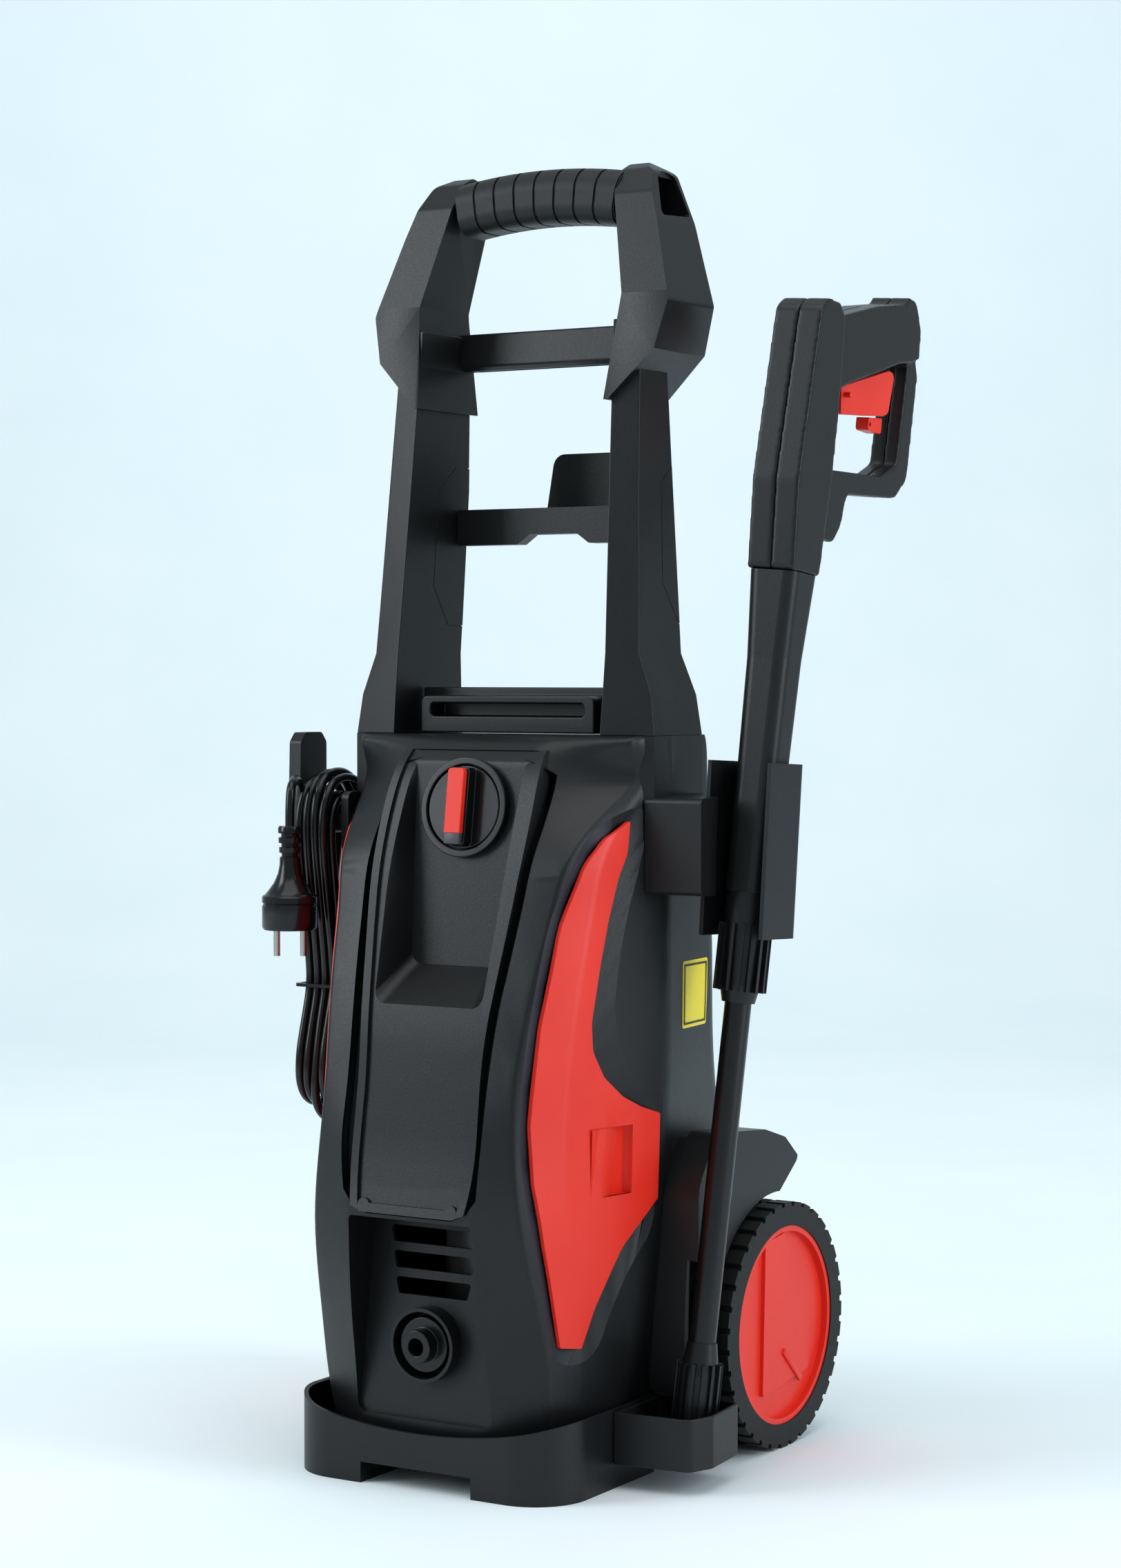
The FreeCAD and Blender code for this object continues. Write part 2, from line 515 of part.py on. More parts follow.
KNOB_R = 29.0
switch_bezel = on_plate(ring(34.7, KNOB_R + 0.8, (0, 0, 0), (0, 0, 6)))
knob_disc = rod(KNOB_R, (0, 0, GAP), (0, 0, 4.5))
knob_bar = local_prism([(8, -27), (8, 27), (-8, 27), (-8, -27)], 3, 4, 13.5)
knob_hub = rod(6.5, (0, 0, -11), (0, 0, 12))
knob_bore = rod(4.0, (0, 0, -11), (0, 0, 14))
switch_knob = on_plate(fuse([knob_disc, knob_bar, knob_hub]).cut(knob_bore))
pointer = local_prism([(6.5, -19), (6.5, 26), (-6.5, 26), (-6.5, -19)], [0.5, 3, 3, 0.5], 13.5, 18)
knob_pointer = on_plate(pointer)
switch_shaft = on_plate(rod(4.0, (0, 0, -30), (0, 0, 33)))
switch_box = on_plate(box(-24, 24, -26, 26, -50, -14).cut(rod(4.0 + GAP, (0, 0, -32), (0, 0, 40))))

# ---------------------------------------------------------------- motor and pump

MOTOR_Y = -72.0
INLET_Z = 124.0
motor_housing = ring(52, 29, (0, MOTOR_Y, 196), (0, 0, 124))
end_shields = fuse([ring(52, 11.1, (0, MOTOR_Y, 186), (0, 0, 10)), ring(52, 11.1, (0, MOTOR_Y, 320), (0, 0, 10))])
motor_housing = fuse([motor_housing, end_shields])
rotor_core = fuse([rod(28.2, (0, MOTOR_Y, 205), (0, 0, 104)), rod(5, (0, MOTOR_Y, 172), (0, 0, 188))])
bearings = Part.makeCompound([ring(11, 5.05, (0, MOTOR_Y, z), (0, 0, 8)) for z in (187, 321)])
fan_blades = [box(14, 44, -1, 1, 340, 356).rotate(Vector(0, 0, 0), Vector(0, 0, 1), 36 * k) for k in range(10)]
fan = fuse([rod(15, (0, 0, 338), (0, 0, 18)), rod(46, (0, 0, 336), (0, 0, 3))] + fan_blades)
fan.translate(Vector(0, MOTOR_Y, 0))
fan = fan.cut(rod(5, (0, MOTOR_Y, 300), (0, 0, 100)))
pump_block = fuse([rod(44, (0, MOTOR_Y, 62), (0, 0, 58)), box(-40, 40, MOTOR_Y - 48, MOTOR_Y + 40, 50, 76),
                   rod(13, (0, MOTOR_Y - 30, OUTLET_Z), (0, -38, 0)), rod(12, (30, MOTOR_Y + 20, INLET_Z), (0, 90, 0)),
                   rod(44, (0, MOTOR_Y, 120), (0, 0, 66)).cut(rod(34, (0, MOTOR_Y, 124), (0, 0, 62)))])
pump_block = pump_block.cut(rod(12, (0, -145, OUTLET_Z), (0, 5, 0)))
pump_block = pump_block.cut(rod(3.5, (0, -150, OUTLET_Z), (0, 60, 0)))
INLET_BACK = 96.0
inlet_connector = fuse([rod(16, (30, 70.3, INLET_Z), (0, 5.7, 0)), rod(10, (30, 38, INLET_Z), (0, INLET_BACK - 38, 0)),
                        rod(12.2, (30, 80, INLET_Z), (0, 4, 0))]).cut(rod(6, (30, 30, INLET_Z), (0, 80, 0)))
rear_shell = rear_shell.cut(rod(12.5, (30, 30, INLET_Z), (0, 60, 0)))

# ---------------------------------------------------------------- lance clip and cup

clip_axis = unit(Vector(LANCE_LEAN.x / 2, LANCE_LEAN.y / 2, 1))


def leaning(shape, foot, lean):
    """Local z laid along lean, local y kept as near +Y as it can be, at foot."""
    up = unit(lean)
    depth = unit(Vector(0, 1, 0) - up * up.y)
    shape.Placement = Placement(foot, Rotation(depth.cross(up), depth, up, "ZYX"))
    return shape


def lance_point(z):
    return LANCE_FOOT + LANCE_LEAN * (z - LANCE_FOOT.z)


CLIP_LOW = 374.0
CLIP_HIGH = 494.0
CLIP_HALF = 21.5
clip_foot = lance_point((CLIP_LOW + CLIP_HIGH) / 2) - clip_axis * ((CLIP_HIGH - CLIP_LOW) / 2)
clip_length = CLIP_HIGH - CLIP_LOW
clip_wall = 3.0
outer_side = CLIP_HALF + clip_wall
channel = local_prism([(outer_side, -28), (outer_side, 24), (-outer_side, 24), (-outer_side, -28)], [0, 8, 8, 0], 0, clip_length)
channel = channel.cut(local_prism([(CLIP_HALF, -40), (CLIP_HALF, 21), (-CLIP_HALF, 21), (-CLIP_HALF, -40)], [0, 5, 5, 0],
                                  -5, clip_length + 5))
clip_channel = leaning(channel, clip_foot, clip_axis)
clip_block = prism([(-84, 404), (-84, 470), (-30, 472), (-30, 402)], 4, beside(118), (44, 0, 0)).cut(body_outer)
channel_fill = local_prism([(outer_side, -28), (outer_side, 24), (-outer_side, 24), (-outer_side, -28)], [0, 8, 8, 0],
                           -20, clip_length + 20)
clip_block = clip_block.cut(leaning(channel_fill, clip_foot, clip_axis)).common(box(100, 168, -120, 40, 380, 480))
lance_clip = fuse([clip_channel, clip_block]).cut(shoulder_block)

CUP_Z = (17.0, 53.0)
cup_outline = [(TRAY_HALF, -116), (169, -112), (176.5, -92), (172, -46), (TRAY_HALF, -38)]
cup = prism(cup_outline, [0, 8, 8, 6, 0], level(CUP_Z[0]), (0, 0, CUP_Z[1] - CUP_Z[0]))
cup_inside = prism(shrink(cup_outline, WALL), [2, 5, 5, 3, 2], level(CUP_Z[0] + WALL), (0, 0, 60))
lance_cup = cup.cut(cup_inside)
cup_block = prism(cup_outline, 0, level(0), (0, 0, CUP_Z[1] + 1))
lance_way = leaning(rod(19, (0, 0, -45), (0, 0, 150)), LANCE_FOOT, LANCE_LEAN)
right_fender = right_fender.cut(cup_block).cut(lance_way)

# ---------------------------------------------------------------- lance and gun (drawn along local z)

# heights along the lance axis, from the mouth of the cup
NOZZLE_LOW = -23.0
NOZZLE_TOP = 52.0
TUBE_TOP = 300.0
COLLAR_LOW = 286.0
COLLAR_TOP = 362.0
GUN_LOW = 583.0
TUBE_R = 9.3


def along_lance(shape):
    return leaning(shape, LANCE_FOOT, LANCE_LEAN)


def turned(radii_by_height):
    """Solid of revolution about local z from (height, radius) pairs."""
    low, high = radii_by_height[0][0], radii_by_height[-1][0]
    points = [Vector(0, 0, low)] + [Vector(r, 0, h) for h, r in radii_by_height] + [Vector(0, 0, high), Vector(0, 0, low)]
    return Part.Face(Part.makePolygon(points)).revolve(Vector(0, 0, 0), Vector(0, 0, 1), 360)


def ribs(count, radius, low, high, reach):
    return [box(radius - 3, reach, -1.1, 1.1, low, high).rotate(Vector(0, 0, 0), Vector(0, 0, 1), k * 360 / count)
            for k in range(count)]


nozzle_body = fuse([turned([(NOZZLE_LOW, 11), (-14, 13.5), (30, 13.5), (40, 12), (NOZZLE_TOP, 10.2)])]
                   + ribs(14, 13, -10, 38, 16)).cut(rod(TUBE_R + RUN, (0, 0, 6), (0, 0, 80))).cut(rod(5, (0, 0, -30), (0, 0, 60)))
nozzle_tip = turned([(NOZZLE_LOW - 1, 4.9), (6, 4.9), (6.1, 8), (20, 8)]).cut(rod(0.8, (0, 0, -40), (0, 0, 80)))
lance_tube = ring(TUBE_R, TUBE_R - 1.2, (0, 0, 8), (0, 0, TUBE_TOP - 8))
lance_collar = fuse([turned([(COLLAR_LOW, 11.5), (COLLAR_LOW + 12, 14), (COLLAR_TOP - 30, 15.5), (COLLAR_TOP, 15.5)])]
                    + ribs(16, 13.5, COLLAR_LOW + 8, COLLAR_TOP - 22, 18.5)).cut(rod(TUBE_R, (0, 0, 250), (0, 0, TUBE_TOP - 250)))
EXTENSION = [(COLLAR_TOP, 14.5, 15), (440, 15, 15.5), (GUN_LOW - 60, 16, 16.5), (GUN_LOW, 18.5, 19.5)]
extension = Part.makeLoft([rounded_wire([(a, -b), (a, b), (-a, b), (-a, -b)], 9, level(h)) for h, a, b in EXTENSION],
                          True, True)
extension = extension.cut(rod(7, (0, 0, COLLAR_TOP - 1), (0, 0, 400)))

GUN_BODY = [(-20, GUN_LOW + 0.3), (-26, 645), (-18, 764), (-8, 772), (10, 772), (19, 764), (24, 700), (24, 650),
            (20, GUN_LOW + 0.3)]
GUN_GRIP = [(0, 764), (20, 765), (75, 782), (116, 791), (122, 797), (134, 796), (146, 778), (148, 757), (136, 752),
            (117, 748), (44, 722), (20, 712), (0, 712)]
GUARD_OUTER = [(10, 612), (48, 610), (58, 622), (63, 646), (140, 654), (156, 670), (156, 745), (148, 762), (132, 762),
               (132, 740), (10, 700)]
GUARD_WINDOW = [(26, 659), (112, 666), (136, 678), (138, 752), (26, 720)]
gun_solid = fuse([prism(GUN_BODY, [4, 20, 10, 4, 4, 8, 20, 10, 4], beside(-18), (36, 0, 0)),
                  prism(GUN_GRIP, [0, 6, 30, 6, 3, 8, 8, 2, 4, 6, 10, 6, 0], beside(-15), (30, 0, 0)),
                  prism(GUARD_OUTER, [0, 8, 8, 6, 14, 14, 10, 3, 0, 4, 0], beside(-11), (22, 0, 0))
                  .cut(prism(GUARD_WINDOW, [6, 10, 8, 2, 2], beside(-12), (24, 0, 0)))])
TRIGGER = [(44, 700), (110, 709), (118, 712), (122, 742), (112, 742), (50, 722), (40, 722)]
TRIGGER_PIN = (46.0, 714.0)
TRIGGER_HALF = 9.0
trigger_room = prism([(30, 696), (150, 690), (130, 760), (112, 760), (50, 736), (30, 736)], [0, 0, 4, 8, 8, 0],
                     beside(-TRIGGER_HALF - 0.7), (2 * TRIGGER_HALF + 1.4, 0, 0))
valve_room = fuse([rod(9.5, (0, 0, GUN_LOW + 6), (0, 0, 150)), rod(6.6, (0, 0, GUN_LOW - 5), (0, 0, 20))])
pin_bore = rod(2.0 + RUN, (-18, TRIGGER_PIN[0], TRIGGER_PIN[1]), (36, 0, 0))
release_room = prism([(11, 585), (60, 585), (60, 611), (11, 611)], 0, beside(-6.6), (13.2, 0, 0))
gun_solid = gun_solid.cut(trigger_room.cut(prism(GUARD_OUTER, 0, beside(-11), (22, 0, 0)).cut(
    prism(GUARD_WINDOW, 0, beside(-12), (24, 0, 0))).cut(box(-20, 20, 30, 130, 700, 800))))
gun_solid = gun_solid.cut(valve_room).cut(release_room)
hose_port = rod(7, (0, 100, 772), (0, 60, 0))
gun_solid = gun_solid.cut(hose_port)
gun_left = gun_solid.common(box(-60, 0, -100, 300, 500, 900)).cut(pin_bore)
gun_right = gun_solid.common(box(0, 60, -100, 300, 500, 900)).cut(pin_bore)
trigger = prism(TRIGGER, [3, 6, 6, 5, 4, 6, 3], beside(-TRIGGER_HALF), (2 * TRIGGER_HALF, 0, 0))
trigger = fuse([trigger, rod(2.0, (-14.5, TRIGGER_PIN[0], TRIGGER_PIN[1]), (29, 0, 0))])
LOCK_EYE = (99.0, 701.5)
lock_eye = rod(1.5, (-5, LOCK_EYE[0], LOCK_EYE[1]), (10, 0, 0))
trigger_lock = prism([(96, 697), (118, 697), (117, 708.5), (96, 706)], [3, 3, 1, 1], beside(-5), (10, 0, 0)).cut(lock_eye)
lance_release = prism([(15, 588), (34, 588), (37, 592), (35, 610), (15, 610)], [1, 1, 2, 2, 1], beside(-6), (12, 0, 0))
valve_cartridge = fuse([rod(9.4, (0, 0, GUN_LOW + 8), (0, 0, 120)), rod(6.5, (0, 0, GUN_LOW - 20), (0, 0, 30))])
valve_cartridge = valve_cartridge.cut(rod(3, (0, 0, GUN_LOW - 30), (0, 0, 140)))
hose_inlet = fuse([rod(6.9, (0, 104, 772), (0, 50, 0)), rod(9, (0, 148.5, 772), (0, 10, 0))]).cut(rod(3, (0, 100, 772), (0, 90, 0)))

# ---------------------------------------------------------------- cable hook, power cord and plug

HOOK_OUT = -175.0
hook_paddle = prism([(-95, 436), (-93, 505), (-87, 512), (-67, 512), (-61, 505), (-61, 436)], [6, 4, 4, 4, 4, 6],
                    beside(HOOK_OUT), (10, 0, 0))
hook_arm = prism([(-92, 440), (-92, 454), (-64, 454), (-64, 440)], 4, beside(HOOK_OUT + 5), (51, 0, 0))
hook_plate = prism([(-96, 426), (-96, 470), (-60, 470), (-60, 426)], 6, beside(-127), (6, 0, 0))
cable_hook = fuse([hook_paddle, hook_arm, hook_plate]).cut(body_outer).cut(mirrored(shoulder_block))

CORD_R = 3.3
HANK_THICK = 34.0
HANK_X = -163.0
hank_outline = [(-112, 452), (-104, 488), (-52, 488), (-46, 440), (-66, 330), (-56, 262), (-62, 228), (-98, 228), (-108, 262), (-94, 330)]
HANK_RADII = [40, 26, 26, 60, 60, 40, 18, 18, 40, 60]
hank = prism(hank_outline, HANK_RADII, beside(HANK_X), (HANK_THICK, 0, 0))
upper_eye = prism([(-96, 440), (-93, 455), (-63, 455), (-62, 440), (-78, 360), (-82, 360)], [12, 5, 5, 12, 2, 2], beside(-200), (120, 0, 0))
lower_eye = prism([(-90, 262), (-82, 312), (-78, 312), (-72, 262), (-78, 246), (-86, 246)], [14, 1.5, 1.5, 14, 5, 5], beside(-200), (120, 0, 0))
cord_hank = hank.cut(upper_eye).cut(lower_eye)


def cord_tube(points, radius):
    """Round cord along straight runs joined by tangent arcs, one arc at each inner point."""
    edges = []
    here = points[0]
    turns = []
    for before, corner, after in zip(points, points[1:], points[2:]):
        back = unit(before - corner)
        ahead = unit(after - corner)
        shorter = min((before - corner).Length, (after - corner).Length)
        half = back.getAngle(ahead) / 2
        bend = 0.45 * shorter * math.tan(half)
        reach = bend / math.tan(half)
        middle = corner + unit(back + ahead) * (bend / math.sin(half) - bend)
        start, end = corner + back * reach, corner + ahead * reach
        edges.append(Part.LineSegment(here, start).toShape())
        edges.append(Part.Arc(start, middle, end).toShape())
        here = end
        turns.append(round(bend, 1))
    edges.append(Part.LineSegment(here, points[-1]).toShape())
    path = Part.Wire(edges)
    section = Part.Wire(Part.makeCircle(radius, points[0], points[1] - points[0]))
    tube = path.makePipeShell([section], True, False)
    print("cord bends", turns, "length", round(path.Length, 1), "volume / section x length",
          round(tube.Volume / (math.pi * radius ** 2 * path.Length), 4))
    return tube


# From the strain relief on the rear shell's left side, down and forward into the hank.
LEAD_ROUTE = [Vector(-152, -14, 300), Vector(-170, -14, 296), Vector(-186, -16, 274), Vector(-188, -24, 248),
              Vector(-180, -44, 230), Vector(-153, -64, 240)]
TAIL_ROUTE = [Vector(-158, -106, 466), Vector(-156, -119, 480), Vector(-148, -130, 470), Vector(-148, -130, 446)]
cord_lead = cord_tube(LEAD_ROUTE, CORD_R)
cord_tail = cord_tube(TAIL_ROUTE, CORD_R)
strain_relief = Part.makeCone(8, 4.4, 30, Vector(-122, -14, 300), Vector(-1, 0, 0))
PLUG_X, PLUG_Y = -148.0, -130.0
plug_body = fuse([Part.makeCone(6.5, 9, 30, Vector(PLUG_X, PLUG_Y, 416), Vector(0, 0, 1)),
                  Part.makeCone(18, 6.5, 22, Vector(PLUG_X, PLUG_Y, 394), Vector(0, 0, 1)),
                  rod(20, (PLUG_X, PLUG_Y, 372), (0, 0, 24))])
pin_spots = [(PLUG_X - 8.2, PLUG_Y - 4.8), (PLUG_X + 8.2, PLUG_Y + 4.8)]
plug_body = plug_body.cut(rod(CORD_R, (PLUG_X, PLUG_Y, 446), (0, 0, 10)))
plug_pins = Part.makeCompound([rod(2.4, (x, y, 353), (0, 0, 19)) for x, y in pin_spots])
cord_tie = prism([(-166, -101), (-166, -60), (-126, -60), (-126, -101)], 4, level(328), (0, 0, 2.4)).cut(
    prism([(-163.4, -98.4), (-163.4, -62.6), (-128.6, -62.6), (-128.6, -98.4)], 2, level(327), (0, 0, 6)))

# ---------------------------------------------------------------- fasteners and label

screw_spots = [(x, z) for z in (70, 205, 420) for x in (-88, 88)]


shell_screws = []
for x, z in screw_spots:
    back_y = body_outer.common(rod(1, (x, -60, z), (0, 200, 0))).BoundBox.YMax
    shell_screws.append(rod(4, (x, back_y - 1.2, z), (0, 2.4, 0)))
shell_screws = Part.makeCompound(shell_screws)
rear_shell = rear_shell.cut(shell_screws)
noise_label = body_solid(-0.35).cut(body_outer).common(
    prism([(-38, 307.5), (-38, 354.5), (3, 354.5), (3, 307.5)], 2, beside(100), (60, 0, 0)))

# ---------------------------------------------------------------- write every piece

for name, shape in [
        ("base_tray", base_tray), ("front_hood", front_hood), ("tongue_cover", tongue_cover),
        ("grille_panel", grille_panel), ("right_inlay", right_inlay), ("left_inlay", left_inlay),
        ("rear_shell", rear_shell), ("accessory_bar", accessory_bar), ("right_upright", right_upright),
        ("left_upright", mirrored(right_upright)), ("right_insert", right_insert),
        ("left_insert", mirrored(right_insert)), ("hose_hanger", hose_hanger), ("handle_yoke", handle_yoke),
        ("handle_grip", handle_grip), ("crossbar", crossbar), ("switch_bezel", switch_bezel),
        ("switch_knob", switch_knob), ("knob_pointer", knob_pointer), ("switch_shaft", switch_shaft),
        ("switch_box", switch_box), ("motor_housing", motor_housing),
        ("motor_rotor", rotor_core), ("motor_bearings", bearings), ("cooling_fan", fan),
        ("pump_block", pump_block), ("outlet_connector", outlet_connector), ("inlet_connector", inlet_connector),
        ("right_tyre", tyre), ("left_tyre", mirrored(tyre)), ("right_hub", hub), ("left_hub", mirrored(hub)),
        ("wheel_axle", axle), ("axle_washers", axle_washers), ("right_fender", right_fender),
        ("left_fender", left_fender), ("lance_clip", lance_clip), ("lance_cup", lance_cup),
        ("nozzle_body", along_lance(nozzle_body)), ("nozzle_tip", along_lance(nozzle_tip)),
        ("lance_tube", along_lance(lance_tube)), ("lance_collar", along_lance(lance_collar)),
        ("gun_extension", along_lance(extension)), ("gun_left_shell", along_lance(gun_left)),
        ("gun_right_shell", along_lance(gun_right)), ("trigger", along_lance(trigger)),
        ("trigger_lock", along_lance(trigger_lock)),
        ("lance_release", along_lance(lance_release)), ("valve_cartridge", along_lance(valve_cartridge)),
        ("hose_inlet", along_lance(hose_inlet)), ("cable_hook", cable_hook),
        ("strain_relief", strain_relief), ("cord_lead", cord_lead), ("cord_hank", cord_hank),
        ("cord_tail", cord_tail), ("cord_tie", cord_tie), ("plug_body", plug_body), ("plug_pins", plug_pins),
        ("shell_screws", shell_screws), ("noise_label", noise_label)]:
    save(name, shape)
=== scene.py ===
import math

import bmesh
import bpy
from mathutils import Matrix, Vector
from mathutils.bvhtree import BVHTree


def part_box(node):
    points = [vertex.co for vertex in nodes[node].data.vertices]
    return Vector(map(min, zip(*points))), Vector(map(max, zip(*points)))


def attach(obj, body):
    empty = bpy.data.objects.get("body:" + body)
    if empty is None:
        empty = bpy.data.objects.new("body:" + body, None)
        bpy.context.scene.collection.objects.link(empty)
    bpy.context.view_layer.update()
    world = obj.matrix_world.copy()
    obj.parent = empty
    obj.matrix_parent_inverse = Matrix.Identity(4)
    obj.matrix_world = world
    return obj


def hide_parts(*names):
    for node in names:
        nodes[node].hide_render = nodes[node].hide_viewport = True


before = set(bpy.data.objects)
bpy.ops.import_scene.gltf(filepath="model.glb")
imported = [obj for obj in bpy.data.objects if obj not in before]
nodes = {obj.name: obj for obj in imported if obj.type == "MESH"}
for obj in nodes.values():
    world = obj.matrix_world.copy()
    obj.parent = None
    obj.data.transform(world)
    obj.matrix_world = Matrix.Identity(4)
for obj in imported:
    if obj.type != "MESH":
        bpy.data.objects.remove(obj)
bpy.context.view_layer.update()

# ---------------------------------------------------------------- camera, floor and light
# A pale sweep of backdrop paper on the floor, with one large softbox high on the left,
# a second on the right for the long edge lights, and a broad overhead fill.

camera = bpy.data.objects.new("camera", bpy.data.cameras.new("camera"))
bpy.context.scene.collection.objects.link(camera)
camera.location = (1.2103, -1.9915, 0.558)
camera.rotation_euler = (math.radians(90 - 2.02), 0, math.radians(31.5))
camera.data.lens = 74.9
bpy.context.scene.camera = camera


def linear(hex_colour):
    """sRGB hex to linear red, green, blue and alpha."""
    parts = [int(hex_colour[i:i + 2], 16) / 255 for i in (1, 3, 5)]
    return [p / 12.92 if p <= 0.04045 else ((p + 0.055) / 1.055) ** 2.4 for p in parts] + [1.0]


def add_node(material, kind, settings=None, links=None):
    """Add one node: settings are property or input values by name, links join inputs to sockets."""
    node = material.node_tree.nodes.new(kind)
    for name, value in (settings or {}).items():
        if name in node.inputs:
            node.inputs[name].default_value = value
        else:
            setattr(node, name, value)
    for name, socket in (links or {}).items():
        material.node_tree.links.new(socket, node.inputs[name])
    return node


def new_material(name):
    """Empty node material with its shader and object coordinates ready."""
    material = bpy.data.materials.new(name)
    material.use_nodes = True
    shader = material.node_tree.nodes["Principled BSDF"]
    place = add_node(material, "ShaderNodeTexCoord").outputs["Object"]
    return material, shader, place


# Backdrop paper: uncoated card, matt, with a faint unevenness.
paper, shader, place = new_material("backdrop_paper")
mottle = add_node(paper, "ShaderNodeTexNoise", {"Scale": 3.0, "Detail": 2.0}, {"Vector": place})
shades = add_node(paper, "ShaderNodeValToRGB", None, {"Fac": mottle.outputs["Fac"]})
shades.color_ramp.elements[0].color = linear("#e3ecef")
shades.color_ramp.elements[1].color = linear("#edf4f6")
paper.node_tree.links.new(shades.outputs["Color"], shader.inputs["Base Color"])
shader.inputs["Roughness"].default_value = 0.85

sweep = bmesh.new()
bmesh.ops.create_grid(sweep, x_segments=1, y_segments=1, size=4.0)
back_edge = [e for e in sweep.edges if all(v.co.y > 3.9 for v in e.verts)]
wall_up = bmesh.ops.extrude_edge_only(sweep, edges=back_edge)["geom"]
bmesh.ops.translate(sweep, vec=(0, 0, 5), verts=[v for v in wall_up if isinstance(v, bmesh.types.BMVert)])
fold = [e for e in sweep.edges if all(v.co.y > 3.9 and v.co.z < 0.1 for v in e.verts)]
bmesh.ops.bevel(sweep, geom=fold, offset=1.5, segments=16, profile=0.5, affect="EDGES", material=-1)
bmesh.ops.rotate(sweep, matrix=Matrix.Rotation(math.radians(31.5), 3, "Z"), verts=sweep.verts)
sweep_mesh = bpy.data.meshes.new("backdrop")
sweep.to_mesh(sweep_mesh)
backdrop = bpy.data.objects.new("backdrop", sweep_mesh)
bpy.context.scene.collection.objects.link(backdrop)
for face in sweep_mesh.polygons:
    face.use_smooth = True
sweep_mesh.materials.append(paper)


def softbox(name, place, aim, size, power, tint):
    """Rectangular area light at a place, facing a point."""
    light = bpy.data.lights.new(name, "AREA")
    light.shape = "RECTANGLE"
    light.size, light.size_y = size
    light.energy = power
    light.color = linear(tint)[:3]
    lamp = bpy.data.objects.new(name, light)
    bpy.context.scene.collection.objects.link(lamp)
    lamp.location = place
    lamp.rotation_euler = (Vector(aim) - Vector(place)).to_track_quat("-Z", "Y").to_euler()


softbox("left_softbox", (-1.7, -1.7, 1.5), (0, 0, 0.45), (1.0, 1.8), 38, "#f4faff")
softbox("right_softbox", (2.6, 0.2, 1.3), (0, 0, 0.45), (0.9, 2.2), 38, "#f0f6ff")
softbox("top_softbox", (0.3, -0.6, 2.8), (0, 0, 0.4), (2.4, 2.4), 30, "#ffffff")
softbox("backdrop_light", (-0.9, 1.3, 2.8), (-1.9, 3.6, 0.6), (3.0, 1.2), 30, "#f4fbff")
world = bpy.data.worlds.new("studio")
bpy.context.scene.world = world
world.use_nodes = True
world.node_tree.nodes["Background"].inputs["Color"].default_value = linear("#d6e6ec")
world.node_tree.nodes["Background"].inputs["Strength"].default_value = 0.62
bpy.context.scene.view_settings.view_transform = "Standard"


# ---------------------------------------------------------------- moulded body and frame
# Hood, rear shell, tray, uprights and handle are injection-moulded in black ABS, with a fine
# spark-eroded texture that scatters the light and leaves only broad, soft highlights.

def moulded_plastic(name, dark, light, rough, grain_mm, depth_mm):
    """Moulded plastic: an even colour with a faint cloudiness, and an eroded grain of a given size."""
    material, shader, place = new_material(name)
    cloud = add_node(material, "ShaderNodeTexNoise", {"Scale": 14.0, "Detail": 3.0}, {"Vector": place})
    tone = add_node(material, "ShaderNodeValToRGB", None, {"Fac": cloud.outputs["Fac"]})
    tone.color_ramp.elements[0].position = 0.3
    tone.color_ramp.elements[0].color = linear(dark)
    tone.color_ramp.elements[1].position = 0.75
    tone.color_ramp.elements[1].color = linear(light)
    material.node_tree.links.new(tone.outputs["Color"], shader.inputs["Base Color"])
    grain = add_node(material, "ShaderNodeTexNoise", {"Scale": 1000.0 / grain_mm, "Detail": 2.0},
                     {"Vector": place})
    gloss = add_node(material, "ShaderNodeMapRange", {"To Min": rough - 0.06, "To Max": rough + 0.08},
                     {"Value": grain.outputs["Fac"]})
    material.node_tree.links.new(gloss.outputs["Result"], shader.inputs["Roughness"])
    bump = add_node(material, "ShaderNodeBump", {"Strength": 0.6, "Distance": depth_mm / 1000},
                    {"Height": grain.outputs["Fac"]})
    material.node_tree.links.new(bump.outputs["Normal"], shader.inputs["Normal"])
    shader.inputs["IOR"].default_value = 1.52
    shader.inputs["Specular IOR Level"].default_value = 0.33
    return material


def finish_nodes(material, *names):
    """Give CAD nodes a finish."""
    for name in names:
        mesh = nodes[name].data
        mesh.materials.clear()
        mesh.materials.append(material)


def add_piece(name, shape, material, body, slot, *stands_for):
    """Turn a bmesh into a piece that rides on a body, in a finish; the slot argument is not used."""
    mesh = bpy.data.meshes.new(name)
    shape.to_mesh(mesh)
    shape.free()
    mesh.materials.append(material)
    piece = bpy.data.objects.new(name, mesh)
    bpy.context.scene.collection.objects.link(piece)
    if stands_for:
        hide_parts(*stands_for)
    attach(piece, body)
    return piece


def node_copy(node):
    """Merged copy of a CAD node's mesh, its flat faces joined, as a bmesh."""
    shape = bmesh.new()
    shape.from_mesh(nodes[node].data)
    bmesh.ops.remove_doubles(shape, verts=shape.verts, dist=0.00002)
    bmesh.ops.dissolve_limit(shape, angle_limit=math.radians(1.0), verts=shape.verts, edges=shape.edges,
                             delimit={"NORMAL"})
    return shape


def sharpen(shape, degrees):
    """Smooth faces, with a crease wherever two faces meet at more than an angle."""
    for face in shape.faces:
        face.smooth = True
        face.material_index = 0
    for edge in shape.edges:
        edge.smooth = not (edge.is_manifold and edge.calc_face_angle(0) > math.radians(degrees))


EDGE_ANGLE = 32


